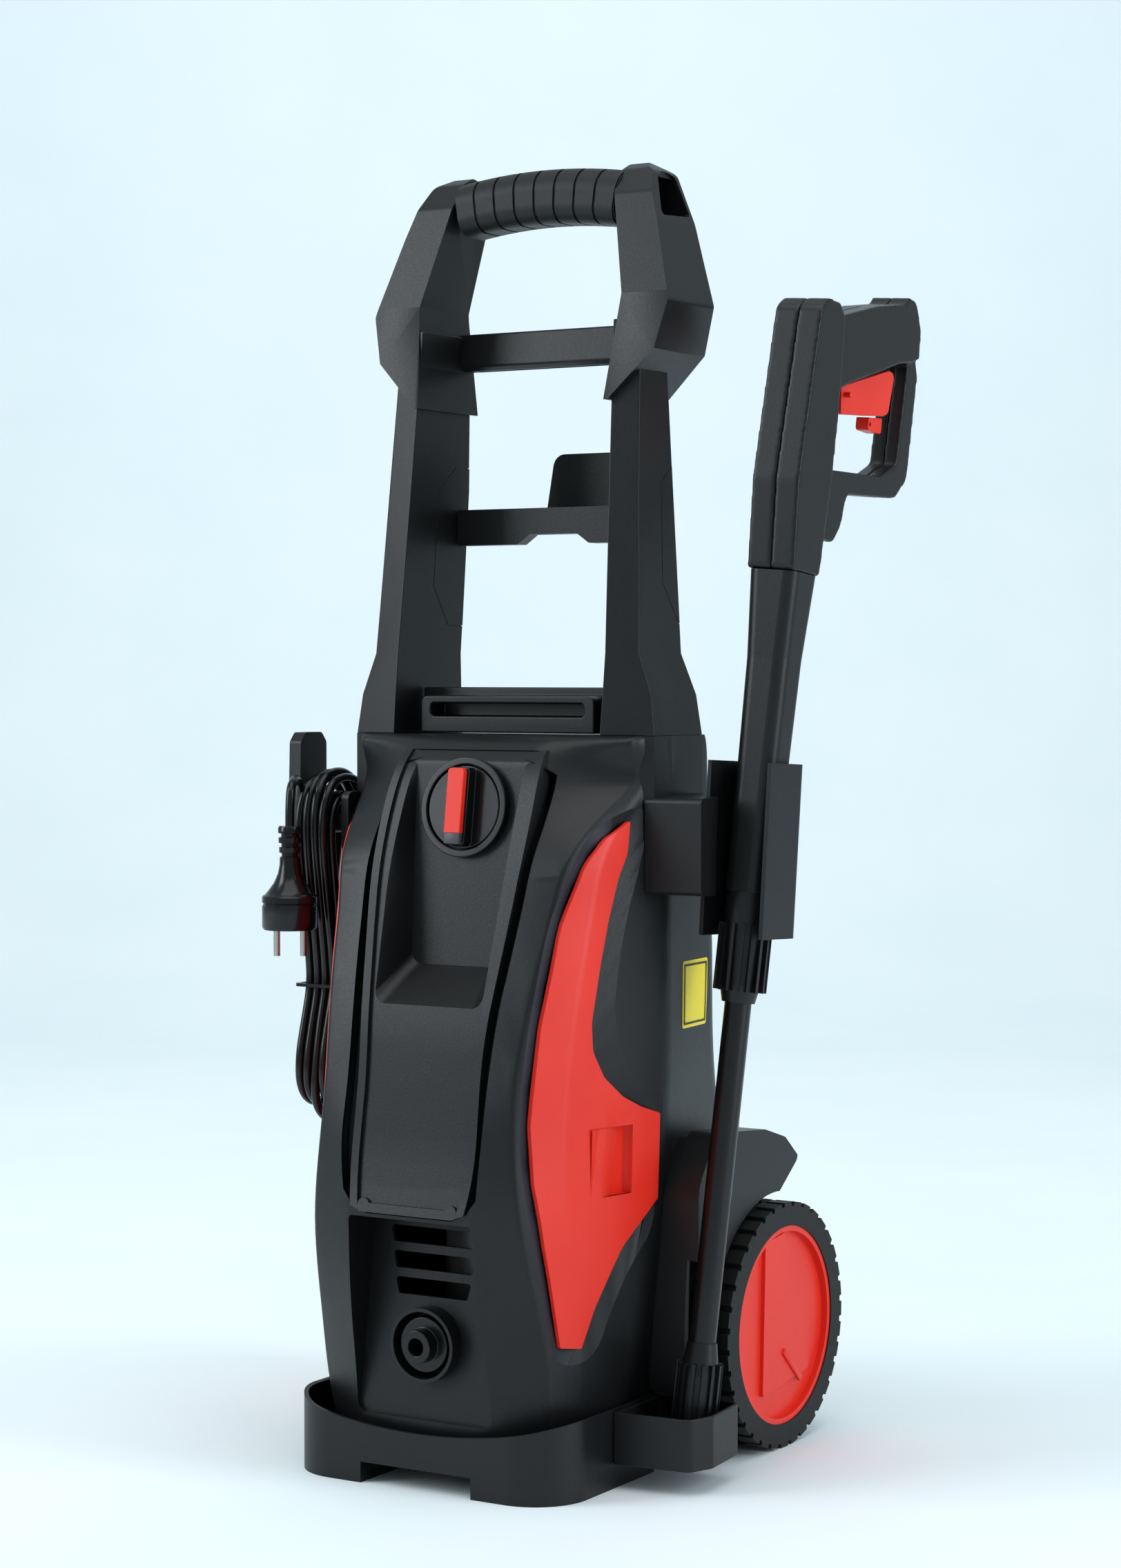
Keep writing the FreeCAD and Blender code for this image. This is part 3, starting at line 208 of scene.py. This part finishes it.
def moulding(node, radius_mm, material, body, slot):
    """A moulded part with its CAD shape and a small radius on every outside edge, as tooling leaves."""
    shape = node_copy(node)
    edges = [e for e in shape.edges if e.is_manifold and e.calc_face_angle(0) > math.radians(EDGE_ANGLE)]
    bmesh.ops.bevel(shape, geom=edges, offset=radius_mm / 1000, segments=2, profile=0.5, affect="EDGES",
                    clamp_overlap=True, material=-1)
    sharpen(shape, 50)
    piece = add_piece(node + "_moulding", shape, material, body, slot, node)
    piece.modifiers.new("flat_faces", "WEIGHTED_NORMAL").keep_sharp = True
    return piece


# The real grain is about 0.3 mm across; it is drawn at 1.6 mm so that it shows.
black_abs = moulded_plastic("textured_black_abs", "#0b0c0d", "#101113", 0.40, 1.6, 0.10)
finish_nodes(black_abs, "front_hood", "rear_shell", "tongue_cover", "grille_panel")
FRAME_RADII_MM = {"handle_yoke": 2.5, "right_upright": 1.5, "left_upright": 1.5, "crossbar": 1.5,
                  "hose_hanger": 1.2, "accessory_bar": 1.2, "base_tray": 1.2, "right_fender": 1.5,
                  "left_fender": 1.5, "lance_clip": 1.2, "lance_cup": 1.2, "cable_hook": 2.0,
                  "right_insert": 0.6, "left_insert": 0.6}
for node, radius_mm in FRAME_RADII_MM.items():
    finish_nodes(black_abs, node)
    moulding(node, radius_mm, black_abs, "machine", "charcoal")

# ---------------------------------------------------------------- front hood
# The hood is one ABS moulding. A sunk channel follows the tongue cover, and a sloping surround
# leads down to each red inlay; both are moulded in the same black, and the surround's front strip
# carries a painted highlight.
# Outlines are in the machine's own millimetres: x from its middle plane, z up from the floor.

MACHINE_SHIFT = Vector((-22.1, 21.1, 0))


def rounded_outline(corners):
    """Closed outline with its corners cut back twice."""
    for _ in range(2):
        corners = [(a[0] * k + b[0] * (1 - k), a[1] * k + b[1] * (1 - k))
                   for a, b in zip(corners, corners[1:] + corners[:1]) for k in (0.75, 0.25)]
    return corners


def in_frame(x, y, z):
    """A point in the machine's own millimetres, as a point in the frame, in metres."""
    return (Vector((x, y, z)) + MACHINE_SHIFT) / 1000


body_skin = bmesh.new()
for node in ("front_hood", "rear_shell", "right_inlay", "left_inlay", "tongue_cover"):
    body_skin.from_mesh(nodes[node].data)
skin_tree = BVHTree.FromBMesh(body_skin)


def on_skin(start, towards):
    """First point of the body's skin from a start point, in a direction."""
    hit = skin_tree.ray_cast(start, Vector(towards))[0]
    return hit if hit is not None else start


def bridged(loops):
    """Strip of faces through a list of closed loops of points."""
    shape = bmesh.new()
    rings = []
    for loop in loops:
        verts = [shape.verts.new(p) for p in loop]
        rings.append([shape.edges.new((a, b)) for a, b in zip(verts, verts[1:] + verts[:1])])
    for lower, upper in zip(rings, rings[1:]):
        bmesh.ops.bridge_loops(shape, edges=lower + upper)
    bmesh.ops.recalc_face_normals(shape, faces=shape.faces)
    return shape


# (y, z) round the red inlay, and round the surround that slopes down to it
INLAY = [(-96, 455), (-117, 443), (-133, 426), (-151, 384), (-168, 319), (-178.5, 253), (-179, 214),
         (-173, 172), (-158, 102), (-139, 99), (-126, 125), (-101, 163), (-67.5, 193), (-69, 252.5),
         (-87, 258.5), (-104, 267), (-121, 281.5), (-131, 300), (-132, 319.5), (-124, 358), (-117, 386),
         (-108, 416), (-100, 432)]
SURROUND = [(-88, 466), (-120, 451.5), (-139.5, 431), (-158.5, 386), (-175.5, 320.5), (-186, 254),
            (-186.5, 214), (-180.5, 171), (-165, 98), (-150, 87), (-121, 92), (-107, 122), (-88, 152),
            (-67, 173), (-67, 256), (-86, 273), (-102, 291), (-112, 320), (-106, 362), (-97, 396),
            (-88, 423), (-82, 443), (-80, 458)]
# (x, z) along the right side of the channel round the tongue cover, from its foot to its top
CHANNEL = [(52, 184), (57, 235), (56.5, 274), (58.5, 320), (63, 367), (67, 417), (68, 463), (65, 499)]
CHANNEL_WIDTH = 9.0
CHANNEL_DEPTH = 9.0
CHANNEL_FOOT = 188
channel_outline = rounded_outline(CHANNEL + [(-x, z) for x, z in reversed(CHANNEL)])
tongue_outline = [(x * (1 - CHANNEL_WIDTH / max(abs(x), 20)), max(z, CHANNEL_FOOT))
                  for x, z in channel_outline]


def cutter(points, along):
    """Closed prism from a loop of points, carried along a direction."""
    shape = bmesh.new()
    face = shape.faces.new([shape.verts.new(p) for p in points])
    carried = bmesh.ops.extrude_face_region(shape, geom=[face])["geom"]
    bmesh.ops.translate(shape, vec=along, verts=[v for v in carried if isinstance(v, bmesh.types.BMVert)])
    bmesh.ops.recalc_face_normals(shape, faces=shape.faces)
    mesh = bpy.data.meshes.new("cutter")
    shape.to_mesh(mesh)
    tool = bpy.data.objects.new("cutter", mesh)
    bpy.context.scene.collection.objects.link(tool)
    return tool


def cut_away(piece, tools, degrees):
    """Cut prisms out of a piece, and shade it smooth between its edges."""
    for tool in tools:
        cut = piece.modifiers.new("cut", "BOOLEAN")
        cut.object = tool
        cut.operation = "DIFFERENCE"
        cut.solver = "EXACT"
    mesh = bpy.data.meshes.new_from_object(piece.evaluated_get(bpy.context.evaluated_depsgraph_get()))
    piece.modifiers.clear()
    piece.data = mesh
    for tool in tools:
        bpy.data.objects.remove(tool)
    shape = bmesh.new()
    shape.from_mesh(mesh)
    sharpen(shape, degrees)
    shape.to_mesh(mesh)
    shape.free()


# The sloping strip along the front of each inlay is a little glossier than the hood, and its blue-grey
# colour, lighter than the hood's black, is a painted highlight where it faces the light, so it shows as a
# dark blue-grey line.
polish_and_painted_highlight_abs = moulded_plastic("polished_black_abs_painted_highlight", "#22242b", "#292b33", 0.34, 1.6, 0.03)
SIDES = ((1, "right"), (-1, "left"))
surround_outline = rounded_outline(SURROUND)
inlay_outline = rounded_outline(INLAY)
FLANK_X = 74                # the surround is cut from here outwards
FLANK_CUT = 0.08
tools = [cutter([in_frame(side * FLANK_X, y, z) for y, z in surround_outline], (side * FLANK_CUT, 0, 0))
         for side, _ in SIDES]
FRONT_Y = -240              # the channel is cut from here backwards
FRONT_CUT = 0.18
tools.append(cutter([in_frame(x, FRONT_Y, z) for x, z in channel_outline], (0, FRONT_CUT, 0)))
hood = add_piece("hood_moulding", node_copy("front_hood"), black_abs, "machine", "charcoal", "front_hood")
cut_away(hood, tools, 24)
OUTSIDE_X = 200
OUTSIDE_Y = -260


def on_flank(side, y, z):
    """Point of the body's skin seen square on from one side."""
    return on_skin(in_frame(side * OUTSIDE_X, y, z), (-side, 0, 0))


SAME_LEVEL = 18             # how far up or down a strip's face looks for the inlay's two edges
for side, name in SIDES:
    sunk = Vector((-side * 0.0042, 0.0014, 0))
    edge = [on_flank(side, y, z) for y, z in surround_outline]
    foot = [on_flank(side, y, z) + sunk for y, z in inlay_outline]
    surround = bridged([edge, foot])
    sharpen(surround, 30)
    # Faces in front of the inlay's middle keep the lighter colour of the painted highlight; faces behind it
    # are given the plain black.
    for face in surround.faces:
        middle = face.calc_center_median() * 1000 - MACHINE_SHIFT
        level_with = [y for y, z in inlay_outline if abs(z - middle.z) < SAME_LEVEL]
        if level_with and middle.y > sum(level_with) / len(level_with):
            face.material_index = 1
    piece = add_piece(name + "_surround", surround, polish_and_painted_highlight_abs, "machine", "charcoal")
    piece.data.materials.append(black_abs)

edge = [on_skin(in_frame(x, OUTSIDE_Y, z), (0, 1, 0)) for x, z in channel_outline]
floor = [p + Vector((0, CHANNEL_DEPTH / 1000, 0)) for p in edge]
foot = [Vector((in_frame(x, 0, z).x, p.y + 0.001, in_frame(x, 0, z).z))
        for (x, z), p in zip(tongue_outline, floor)]
channel = bridged([edge, floor, foot])
sharpen(channel, 30)
add_piece("tongue_channel", channel, black_abs, "machine", "charcoal")
moulding("tongue_cover", 1.2, black_abs, "machine", "charcoal")
moulding("grille_panel", 0.8, black_abs, "machine", "charcoal")

# ---------------------------------------------------------------- handle's skirts
# Each leg of the handle ends in a skirt over its upright. The skirt is cut slanting: it hangs
# lowest on the inner side, and is trimmed away towards the outer side.

SKIRT = [(80, 735), (130, 735), (130, 794), (113, 777), (80, 744)]
SKIRT_Y = -120
SKIRT_CUT = 0.16
cut_away(bpy.data.objects["handle_yoke_moulding"], [
    cutter([in_frame(side * x, SKIRT_Y, z) for x, z in SKIRT], (0, SKIRT_CUT, 0)) for side, _ in SIDES], 40)

# ---------------------------------------------------------------- red inlays
# Satin red ABS panels clipped into the hood's flanks. Each has a sunk wedge as a finger grip,
# deepest at its rear wall, and running out level with the panel towards the front.

red_abs = moulded_plastic("satin_red_abs", "#dd2615", "#e52e1c", 0.36, 1.8, 0.05)
finish_nodes(red_abs, "right_inlay", "left_inlay", "knob_pointer", "trigger", "trigger_lock", "lance_release")
GRIP_FRONT, GRIP_BACK = -134, -93
GRIP_LOW, GRIP_HIGH = 200, 247
for side, name in SIDES:
    outwards = Vector((side * 0.003, -0.001, 0))
    inwards = Vector((-side * 0.0075, -0.002, 0))
    corners = []
    for z in (GRIP_LOW, GRIP_HIGH):
        front, back = [on_flank(side, y, z) for y in (GRIP_FRONT, GRIP_BACK)]
        corners.append((front, back + inwards, back))
    (front, deep, back), upper = corners
    rise = upper[2] - back
    inlay = add_piece(name + "_inlay_moulding", node_copy(name + "_inlay"), red_abs, "machine", "red",
                      name + "_inlay")
    cut_away(inlay, [cutter([front + outwards, deep, back + outwards], rise)], 26)
    grip = bmesh.new()
    section = [grip.verts.new(p) for p in corners[0]]
    low_end = grip.faces.new(section)
    carried = bmesh.ops.extrude_face_region(grip, geom=[low_end], use_keep_orig=True)["geom"]
    bmesh.ops.translate(grip, vec=rise, verts=[v for v in carried if isinstance(v, bmesh.types.BMVert)])
    skin_side = [f for f in grip.faces if len(f.verts) == 4 and section[1] not in f.verts]
    bmesh.ops.delete(grip, geom=skin_side, context="FACES_ONLY")
    bmesh.ops.recalc_face_normals(grip, faces=grip.faces)
    bmesh.ops.reverse_faces(grip, faces=grip.faces)
    sharpen(grip, 20)
    add_piece(name + "_inlay_grip", grip, red_abs, "machine", "red")

# ---------------------------------------------------------------- switch box
# The closed box that holds the switch, behind the knob's plate: ABS with a finer texture than
# the hood, and a little glossier.

fine_abs = moulded_plastic("fine_black_abs", "#0c0d0e", "#111213", 0.36, 1.3, 0.06)
finish_nodes(fine_abs, "switch_box")

# ---------------------------------------------------------------- control knob and outlet
# A smooth black ABS knob with a raised bar turns in a polished ring on the leaning plate. The
# bar carries a red cap with a grey tip. The hose outlet low on the front has the same finish.

smooth_abs = moulded_plastic("smooth_black_abs", "#08090a", "#0c0d0e", 0.22, 2.4, 0.02)
finish_nodes(smooth_abs, "switch_knob", "switch_bezel", "outlet_connector")
moulding("switch_knob", 1.2, smooth_abs, "knob", "black")
moulding("switch_bezel", 0.8, smooth_abs, "machine", "black")
moulding("outlet_connector", 0.8, smooth_abs, "machine", "black")
moulding("knob_pointer", 1.6, red_abs, "knob", "red")
pointer_low, pointer_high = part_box("knob_pointer")
grey_abs = moulded_plastic("grey_abs", "#3a3c3f", "#45474a", 0.40, 1.6, 0.06)


def bevelled_bar(size, radius, lean, middle):
    """Small bar with rounded edges, leaned about X and moved to its place, in metres and degrees."""
    bar = bmesh.new()
    bmesh.ops.create_cube(bar, size=1.0)
    bmesh.ops.scale(bar, vec=size, verts=bar.verts)
    bmesh.ops.bevel(bar, geom=bar.edges[:], offset=radius, segments=2, profile=0.5, affect="EDGES",
                    material=-1)
    bmesh.ops.rotate(bar, matrix=Matrix.Rotation(math.radians(lean), 3, "X"), verts=bar.verts)
    bmesh.ops.translate(bar, vec=middle, verts=bar.verts)
    sharpen(bar, 40)
    return bar


PLATE_LEAN = -7.9
tip_middle = ((pointer_low.x + pointer_high.x) / 2, pointer_low.y + 0.0021, pointer_low.z - 0.0030)
pointer_tip = bevelled_bar((0.0126, 0.0042, 0.0085), 0.0008, PLATE_LEAN, tip_middle)
add_piece("pointer_tip", pointer_tip, grey_abs, "knob", "black")

# ---------------------------------------------------------------- wheels
# Hard rubber tyres with square lugs, pressed on red moulded hubs that run on a steel axle.
# A short slanting rib stands on each hub's face, low on its rear side.

tyre_rubber = moulded_plastic("tyre_rubber", "#0d0d0d", "#151514", 0.60, 2.2, 0.18)
hub_abs = moulded_plastic("moulded_red_abs", "#dd2615", "#e52e1c", 0.40, 2.0, 0.06)
RIB_SIZE = (0.0030, 0.036, 0.0050)
RIB_RADIUS = 0.0009
RIB_LEAN = -43
RIB_DEPTH = 0.0018          # the rib's middle, below the hub's rim
for _, side in SIDES:
    finish_nodes(tyre_rubber, side + "_tyre")
    finish_nodes(hub_abs, side + "_hub")
    moulding(side + "_tyre", 0.8, tyre_rubber, side + "_wheel", "tyre")
    moulding(side + "_hub", 1.0, hub_abs, side + "_wheel", "red")
    low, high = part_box(side + "_hub")
    rib_x = max(low.x, high.x, key=abs) - math.copysign(RIB_DEPTH, high.x)
    rib_middle = (rib_x, (low.y + high.y) / 2 + 0.0135, (low.z + high.z) / 2 - 0.0315)
    rib = bevelled_bar(RIB_SIZE, RIB_RADIUS, RIB_LEAN, rib_middle)
    add_piece(side + "_hub_rib", rib, hub_abs, side + "_wheel", "red")

# ---------------------------------------------------------------- grip
# A soft thermoplastic rubber sleeve with seven finger grooves, moulded round the handle's bar.
# The cable's strain relief, on the left side of the rear shell, is moulded in the same rubber.

soft_rubber = moulded_plastic("soft_grip_rubber", "#0d0e0f", "#131416", 0.50, 1.5, 0.12)
finish_nodes(soft_rubber, "handle_grip", "strain_relief")

# ---------------------------------------------------------------- gun and lance
# Two ABS half shells with a seam between them, on a long shroud, a ribbed collar and a
# black-coated steel tube that ends in the turnable nozzle.

gun_abs = moulded_plastic("gun_black_abs", "#0d0e0f", "#121315", 0.38, 1.5, 0.09)
finish_nodes(gun_abs, "gun_left_shell", "gun_right_shell", "gun_extension", "lance_collar", "nozzle_body")
SHELL_VOXEL = 0.001
SHELL_PASSES = 8


def hand_held_shell(node, material, body, slot):
    """A casing that is held in the hand: an even, fine mesh whose edges are all smoothed alike."""
    piece = add_piece(node + "_moulding", node_copy(node), material, body, slot, node)
    remesh = piece.modifiers.new("even_mesh", "REMESH")
    remesh.mode = "VOXEL"
    remesh.voxel_size = SHELL_VOXEL
    smooth = piece.modifiers.new("round_edges", "SMOOTH")
    smooth.factor = 0.5
    smooth.iterations = SHELL_PASSES
    mesh = bpy.data.meshes.new_from_object(piece.evaluated_get(bpy.context.evaluated_depsgraph_get()))
    piece.modifiers.clear()
    piece.data = mesh
    mesh.materials.clear()
    mesh.materials.append(material)
    for face in mesh.polygons:
        face.use_smooth = True


hand_held_shell("gun_left_shell", gun_abs, "gun", "charcoal")
hand_held_shell("gun_right_shell", gun_abs, "gun", "charcoal")
moulding("trigger", 1.8, red_abs, "trigger", "red")
moulding("trigger_lock", 0.8, red_abs, "trigger_lock", "red")
moulding("lance_release", 0.8, red_abs, "lance_release", "red")
coated_steel = moulded_plastic("coated_black_steel", "#090a0a", "#101111", 0.30, 3.0, 0.04)
finish_nodes(coated_steel, "lance_tube")


# ---------------------------------------------------------------- metal parts
# Turned steel, machined brass and cast aluminium, all inside the shell except the fasteners,
# the plug's pins and the water inlet.

def metal(name, colour, worn, rough, grain_mm):
    """Bare metal with fine tool marks and a slight change of tone."""
    material, shader, place = new_material(name)
    marks = add_node(material, "ShaderNodeTexNoise", {"Scale": 1000.0 / grain_mm, "Detail": 3.0},
                     {"Vector": place})
    tone = add_node(material, "ShaderNodeValToRGB", None, {"Fac": marks.outputs["Fac"]})
    tone.color_ramp.elements[0].color = linear(worn)
    tone.color_ramp.elements[1].color = linear(colour)
    material.node_tree.links.new(tone.outputs["Color"], shader.inputs["Base Color"])
    gloss = add_node(material, "ShaderNodeMapRange", {"To Min": rough, "To Max": rough + 0.12},
                     {"Value": marks.outputs["Fac"]})
    material.node_tree.links.new(gloss.outputs["Result"], shader.inputs["Roughness"])
    bump = add_node(material, "ShaderNodeBump", {"Strength": 0.4, "Distance": 0.00005},
                    {"Height": marks.outputs["Fac"]})
    material.node_tree.links.new(bump.outputs["Normal"], shader.inputs["Normal"])
    shader.inputs["Metallic"].default_value = 1.0
    return material


steel = metal("turned_steel", "#b9babd", "#96979a", 0.28, 1.2)
plated = metal("nickel_plated_brass", "#d6d4cf", "#b6b4b0", 0.16, 1.5)
brass = metal("machined_brass", "#c9a85a", "#a68840", 0.24, 1.4)
cast_alloy = metal("cast_aluminium", "#a9abae", "#85878a", 0.45, 1.8)
core_steel = metal("laminated_core_steel", "#6d6f73", "#4c4d50", 0.42, 1.0)
finish_nodes(steel, "switch_shaft", "wheel_axle", "axle_washers", "motor_bearings", "shell_screws")
finish_nodes(plated, "plug_pins")
finish_nodes(brass, "inlet_connector", "nozzle_tip", "valve_cartridge", "hose_inlet")
finish_nodes(cast_alloy, "motor_housing", "pump_block")
finish_nodes(core_steel, "motor_rotor")
finish_nodes(smooth_abs, "cooling_fan")

# ---------------------------------------------------------------- label
# A small rectangle of yellow polyester film, stuck on the right side of the rear shell. A thin
# black line is printed just inside its edge.

film = moulded_plastic("yellow_film", "#e8d020", "#f0da2c", 0.30, 3.0, 0.01)
finish_nodes(film, "noise_label")
ink = moulded_plastic("black_print", "#0c0c0c", "#141414", 0.35, 3.0, 0.01)
label_low, label_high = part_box("noise_label")
LINE_INSET = 0.05           # as parts of the label's size
LINE_WIDTH = 0.03
LINE_LIFT = 0.0009
LINE_THICKNESS = 0.0002
frame_line = bmesh.new()
bmesh.ops.create_grid(frame_line, x_segments=1, y_segments=1, size=0.5,
                      matrix=Matrix.Rotation(math.radians(90), 4, "Y"))
panel = frame_line.faces[:]
bmesh.ops.inset_region(frame_line, faces=panel, thickness=LINE_INSET, use_boundary=True,
                       use_even_offset=True)
line_faces = bmesh.ops.inset_region(frame_line, faces=panel, thickness=LINE_WIDTH, use_boundary=True,
                                    use_even_offset=True)["faces"]
bmesh.ops.delete(frame_line, geom=[f for f in frame_line.faces if f not in line_faces], context="FACES")
for vert in frame_line.verts:
    y = (label_low.y + label_high.y) / 2 + vert.co.y * (label_high.y - label_low.y)
    z = (label_low.z + label_high.z) / 2 + vert.co.z * (label_high.z - label_low.z)
    vert.co = on_skin(Vector((0.3, y, z)), (-1, 0, 0)) + Vector((LINE_LIFT, 0, 0))
bmesh.ops.solidify(frame_line, geom=frame_line.faces[:], thickness=LINE_THICKNESS)
bmesh.ops.recalc_face_normals(frame_line, faces=frame_line.faces)
add_piece("label_frame", frame_line, ink, "machine", "black")

# ---------------------------------------------------------------- mains cable
# Three-core PVC cable, black and glossy, wound by hand into a long hank that hangs over the
# hook, is tied once below its middle, and ends in a moulded two-pin plug.

pvc = moulded_plastic("glossy_black_pvc", "#070708", "#0b0b0c", 0.20, 2.5, 0.03)
CABLE_R = 0.0033
from_machine = MACHINE_SHIFT / 1000
LEAD = [(-152, -14, 300), (-170, -14, 296), (-186, -16, 274), (-188, -24, 248), (-180, -44, 230),
        (-166, -58, 238)]
# (y, height over COIL_FLOOR) of one turn of each row
OUTER_TURN = [(-73, 0.3), (-91, 0.3), (-103.5, 13), (-104, 35), (-98, 70), (-90.7, 97), (-93, 121),
              (-100, 164), (-107, 209), (-105, 236), (-91, 252.5), (-66, 252.5), (-51, 236), (-49, 209),
              (-57, 164), (-67, 121), (-70, 97), (-66, 70), (-60, 35), (-60.5, 13)]
INNER_TURN = [(-75.4, 28), (-86.6, 28), (-94.5, 36), (-95, 59), (-90, 77), (-83.8, 97), (-86, 121),
              (-92, 164), (-98, 204), (-97, 222), (-87, 235), (-69, 235), (-58, 222), (-57, 204),
              (-64, 164), (-73.5, 121), (-76.9, 97), (-74, 77), (-68, 54), (-67.5, 36)]
TAIL = [(-164, -97, 450), (-161, -98, 469), (-157, -107, 478.5), (-152, -120, 478.5), (-148, -130, 469),
        (-148, -130, 446)]
COIL_FLOOR = 231.5
COLUMN = 6.85               # from one turn to the next
OUTER_X = -159.7            # first turn of the outer row
INNER_X = -132.3            # first turn of the inner row
ROW_TURNS = 4
LOOSE_HEIGHT = 40           # below this the outer turns hang at slightly different heights
LOOSE_DROP = 7
TOP_STEPS = range(7, 14)    # the part of a turn above the tie
TOP_SPREAD = 5
STEPS_INWARD = 8            # steps in which the cable goes from the outer row into the inner one
route = list(LEAD)
steps = len(OUTER_TURN)
for step in range(ROW_TURNS * steps + 1):
    y, height = OUTER_TURN[step % steps]
    swing = math.sin(1.9 * step / steps + 0.6)
    spread = TOP_SPREAD if step % steps in TOP_STEPS else 0
    low = LOOSE_DROP * (1 + swing) if height < LOOSE_HEIGHT else 0
    route.append((OUTER_X + COLUMN * step / steps, y, COIL_FLOOR + height + low - spread * (1 + swing) / 2))
for step in range(1, ROW_TURNS * steps + STEPS_INWARD):
    inward = min(1, step / STEPS_INWARD)
    outer, inner = OUTER_TURN[step % steps], INNER_TURN[step % steps]
    y, height = [wide + (tight - wide) * inward for wide, tight in zip(outer, inner)]
    route.append((max(OUTER_X, INNER_X - COLUMN * step / steps), y, COIL_FLOOR + height))
route += TAIL
line = bpy.data.curves.new("mains_cable", "CURVE")
line.dimensions = "3D"
spline = line.splines.new("NURBS")
spline.points.add(len(route) - 1)
for point, place in zip(spline.points, route):
    point.co = (Vector(place) / 1000 + from_machine).to_4d()
spline.order_u = 3
spline.use_endpoint_u = True
spline.resolution_u = 6
line.bevel_depth = CABLE_R
line.bevel_resolution = 4
line.use_fill_caps = True
line.materials.append(pvc)
mains_cable = bpy.data.objects.new("mains_cable", line)
bpy.context.scene.collection.objects.link(mains_cable)
PLUG_SPOT = TAIL[-1][:2]
# (radius, z) down the plug: ribbed sleeve, shoulder, collar with one groove, flat face
PLUG_PROFILE = [(0, 446), (7.6, 446), (8.4, 444.5), (8.4, 441), (6.2, 440.4), (6.2, 438.4), (8.2, 437.8),
                (8, 434), (6, 433.4), (6, 431.4), (7.8, 430.8), (7.5, 427), (5.9, 426.4), (5.9, 424.4),
                (7.2, 423.8), (7.4, 418), (8.6, 412), (11.5, 405.5), (15.5, 400), (18, 397), (19.2, 396.5),
                (20, 395.5), (20, 391.5), (19.2, 390.7), (19.2, 389.8), (20, 389), (20, 374), (18.8, 372),
                (0, 372)]
plug = bmesh.new()
plug_x, plug_y = PLUG_SPOT
rim = [plug.verts.new(in_frame(plug_x + radius, plug_y, z)) for radius, z in PLUG_PROFILE]
rim_edges = [plug.edges.new(pair) for pair in zip(rim, rim[1:])]
bmesh.ops.spin(plug, geom=rim + rim_edges, cent=in_frame(plug_x, plug_y, 0), axis=(0, 0, 1),
               dvec=(0, 0, 0), angle=math.tau, steps=48, use_merge=True, use_normal_flip=False,
               use_duplicate=False)
bmesh.ops.remove_doubles(plug, verts=plug.verts, dist=0.00002)
bmesh.ops.recalc_face_normals(plug, faces=plug.faces)
sharpen(plug, 38)
plug_piece = add_piece("plug_moulding", plug, pvc, "machine", "black", "plug_body")
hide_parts("cord_lead", "cord_hank", "cord_tail")
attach(mains_cable, "machine")
finish_nodes(pvc, "plug_body", "cord_tie", "cord_lead", "cord_hank", "cord_tail")
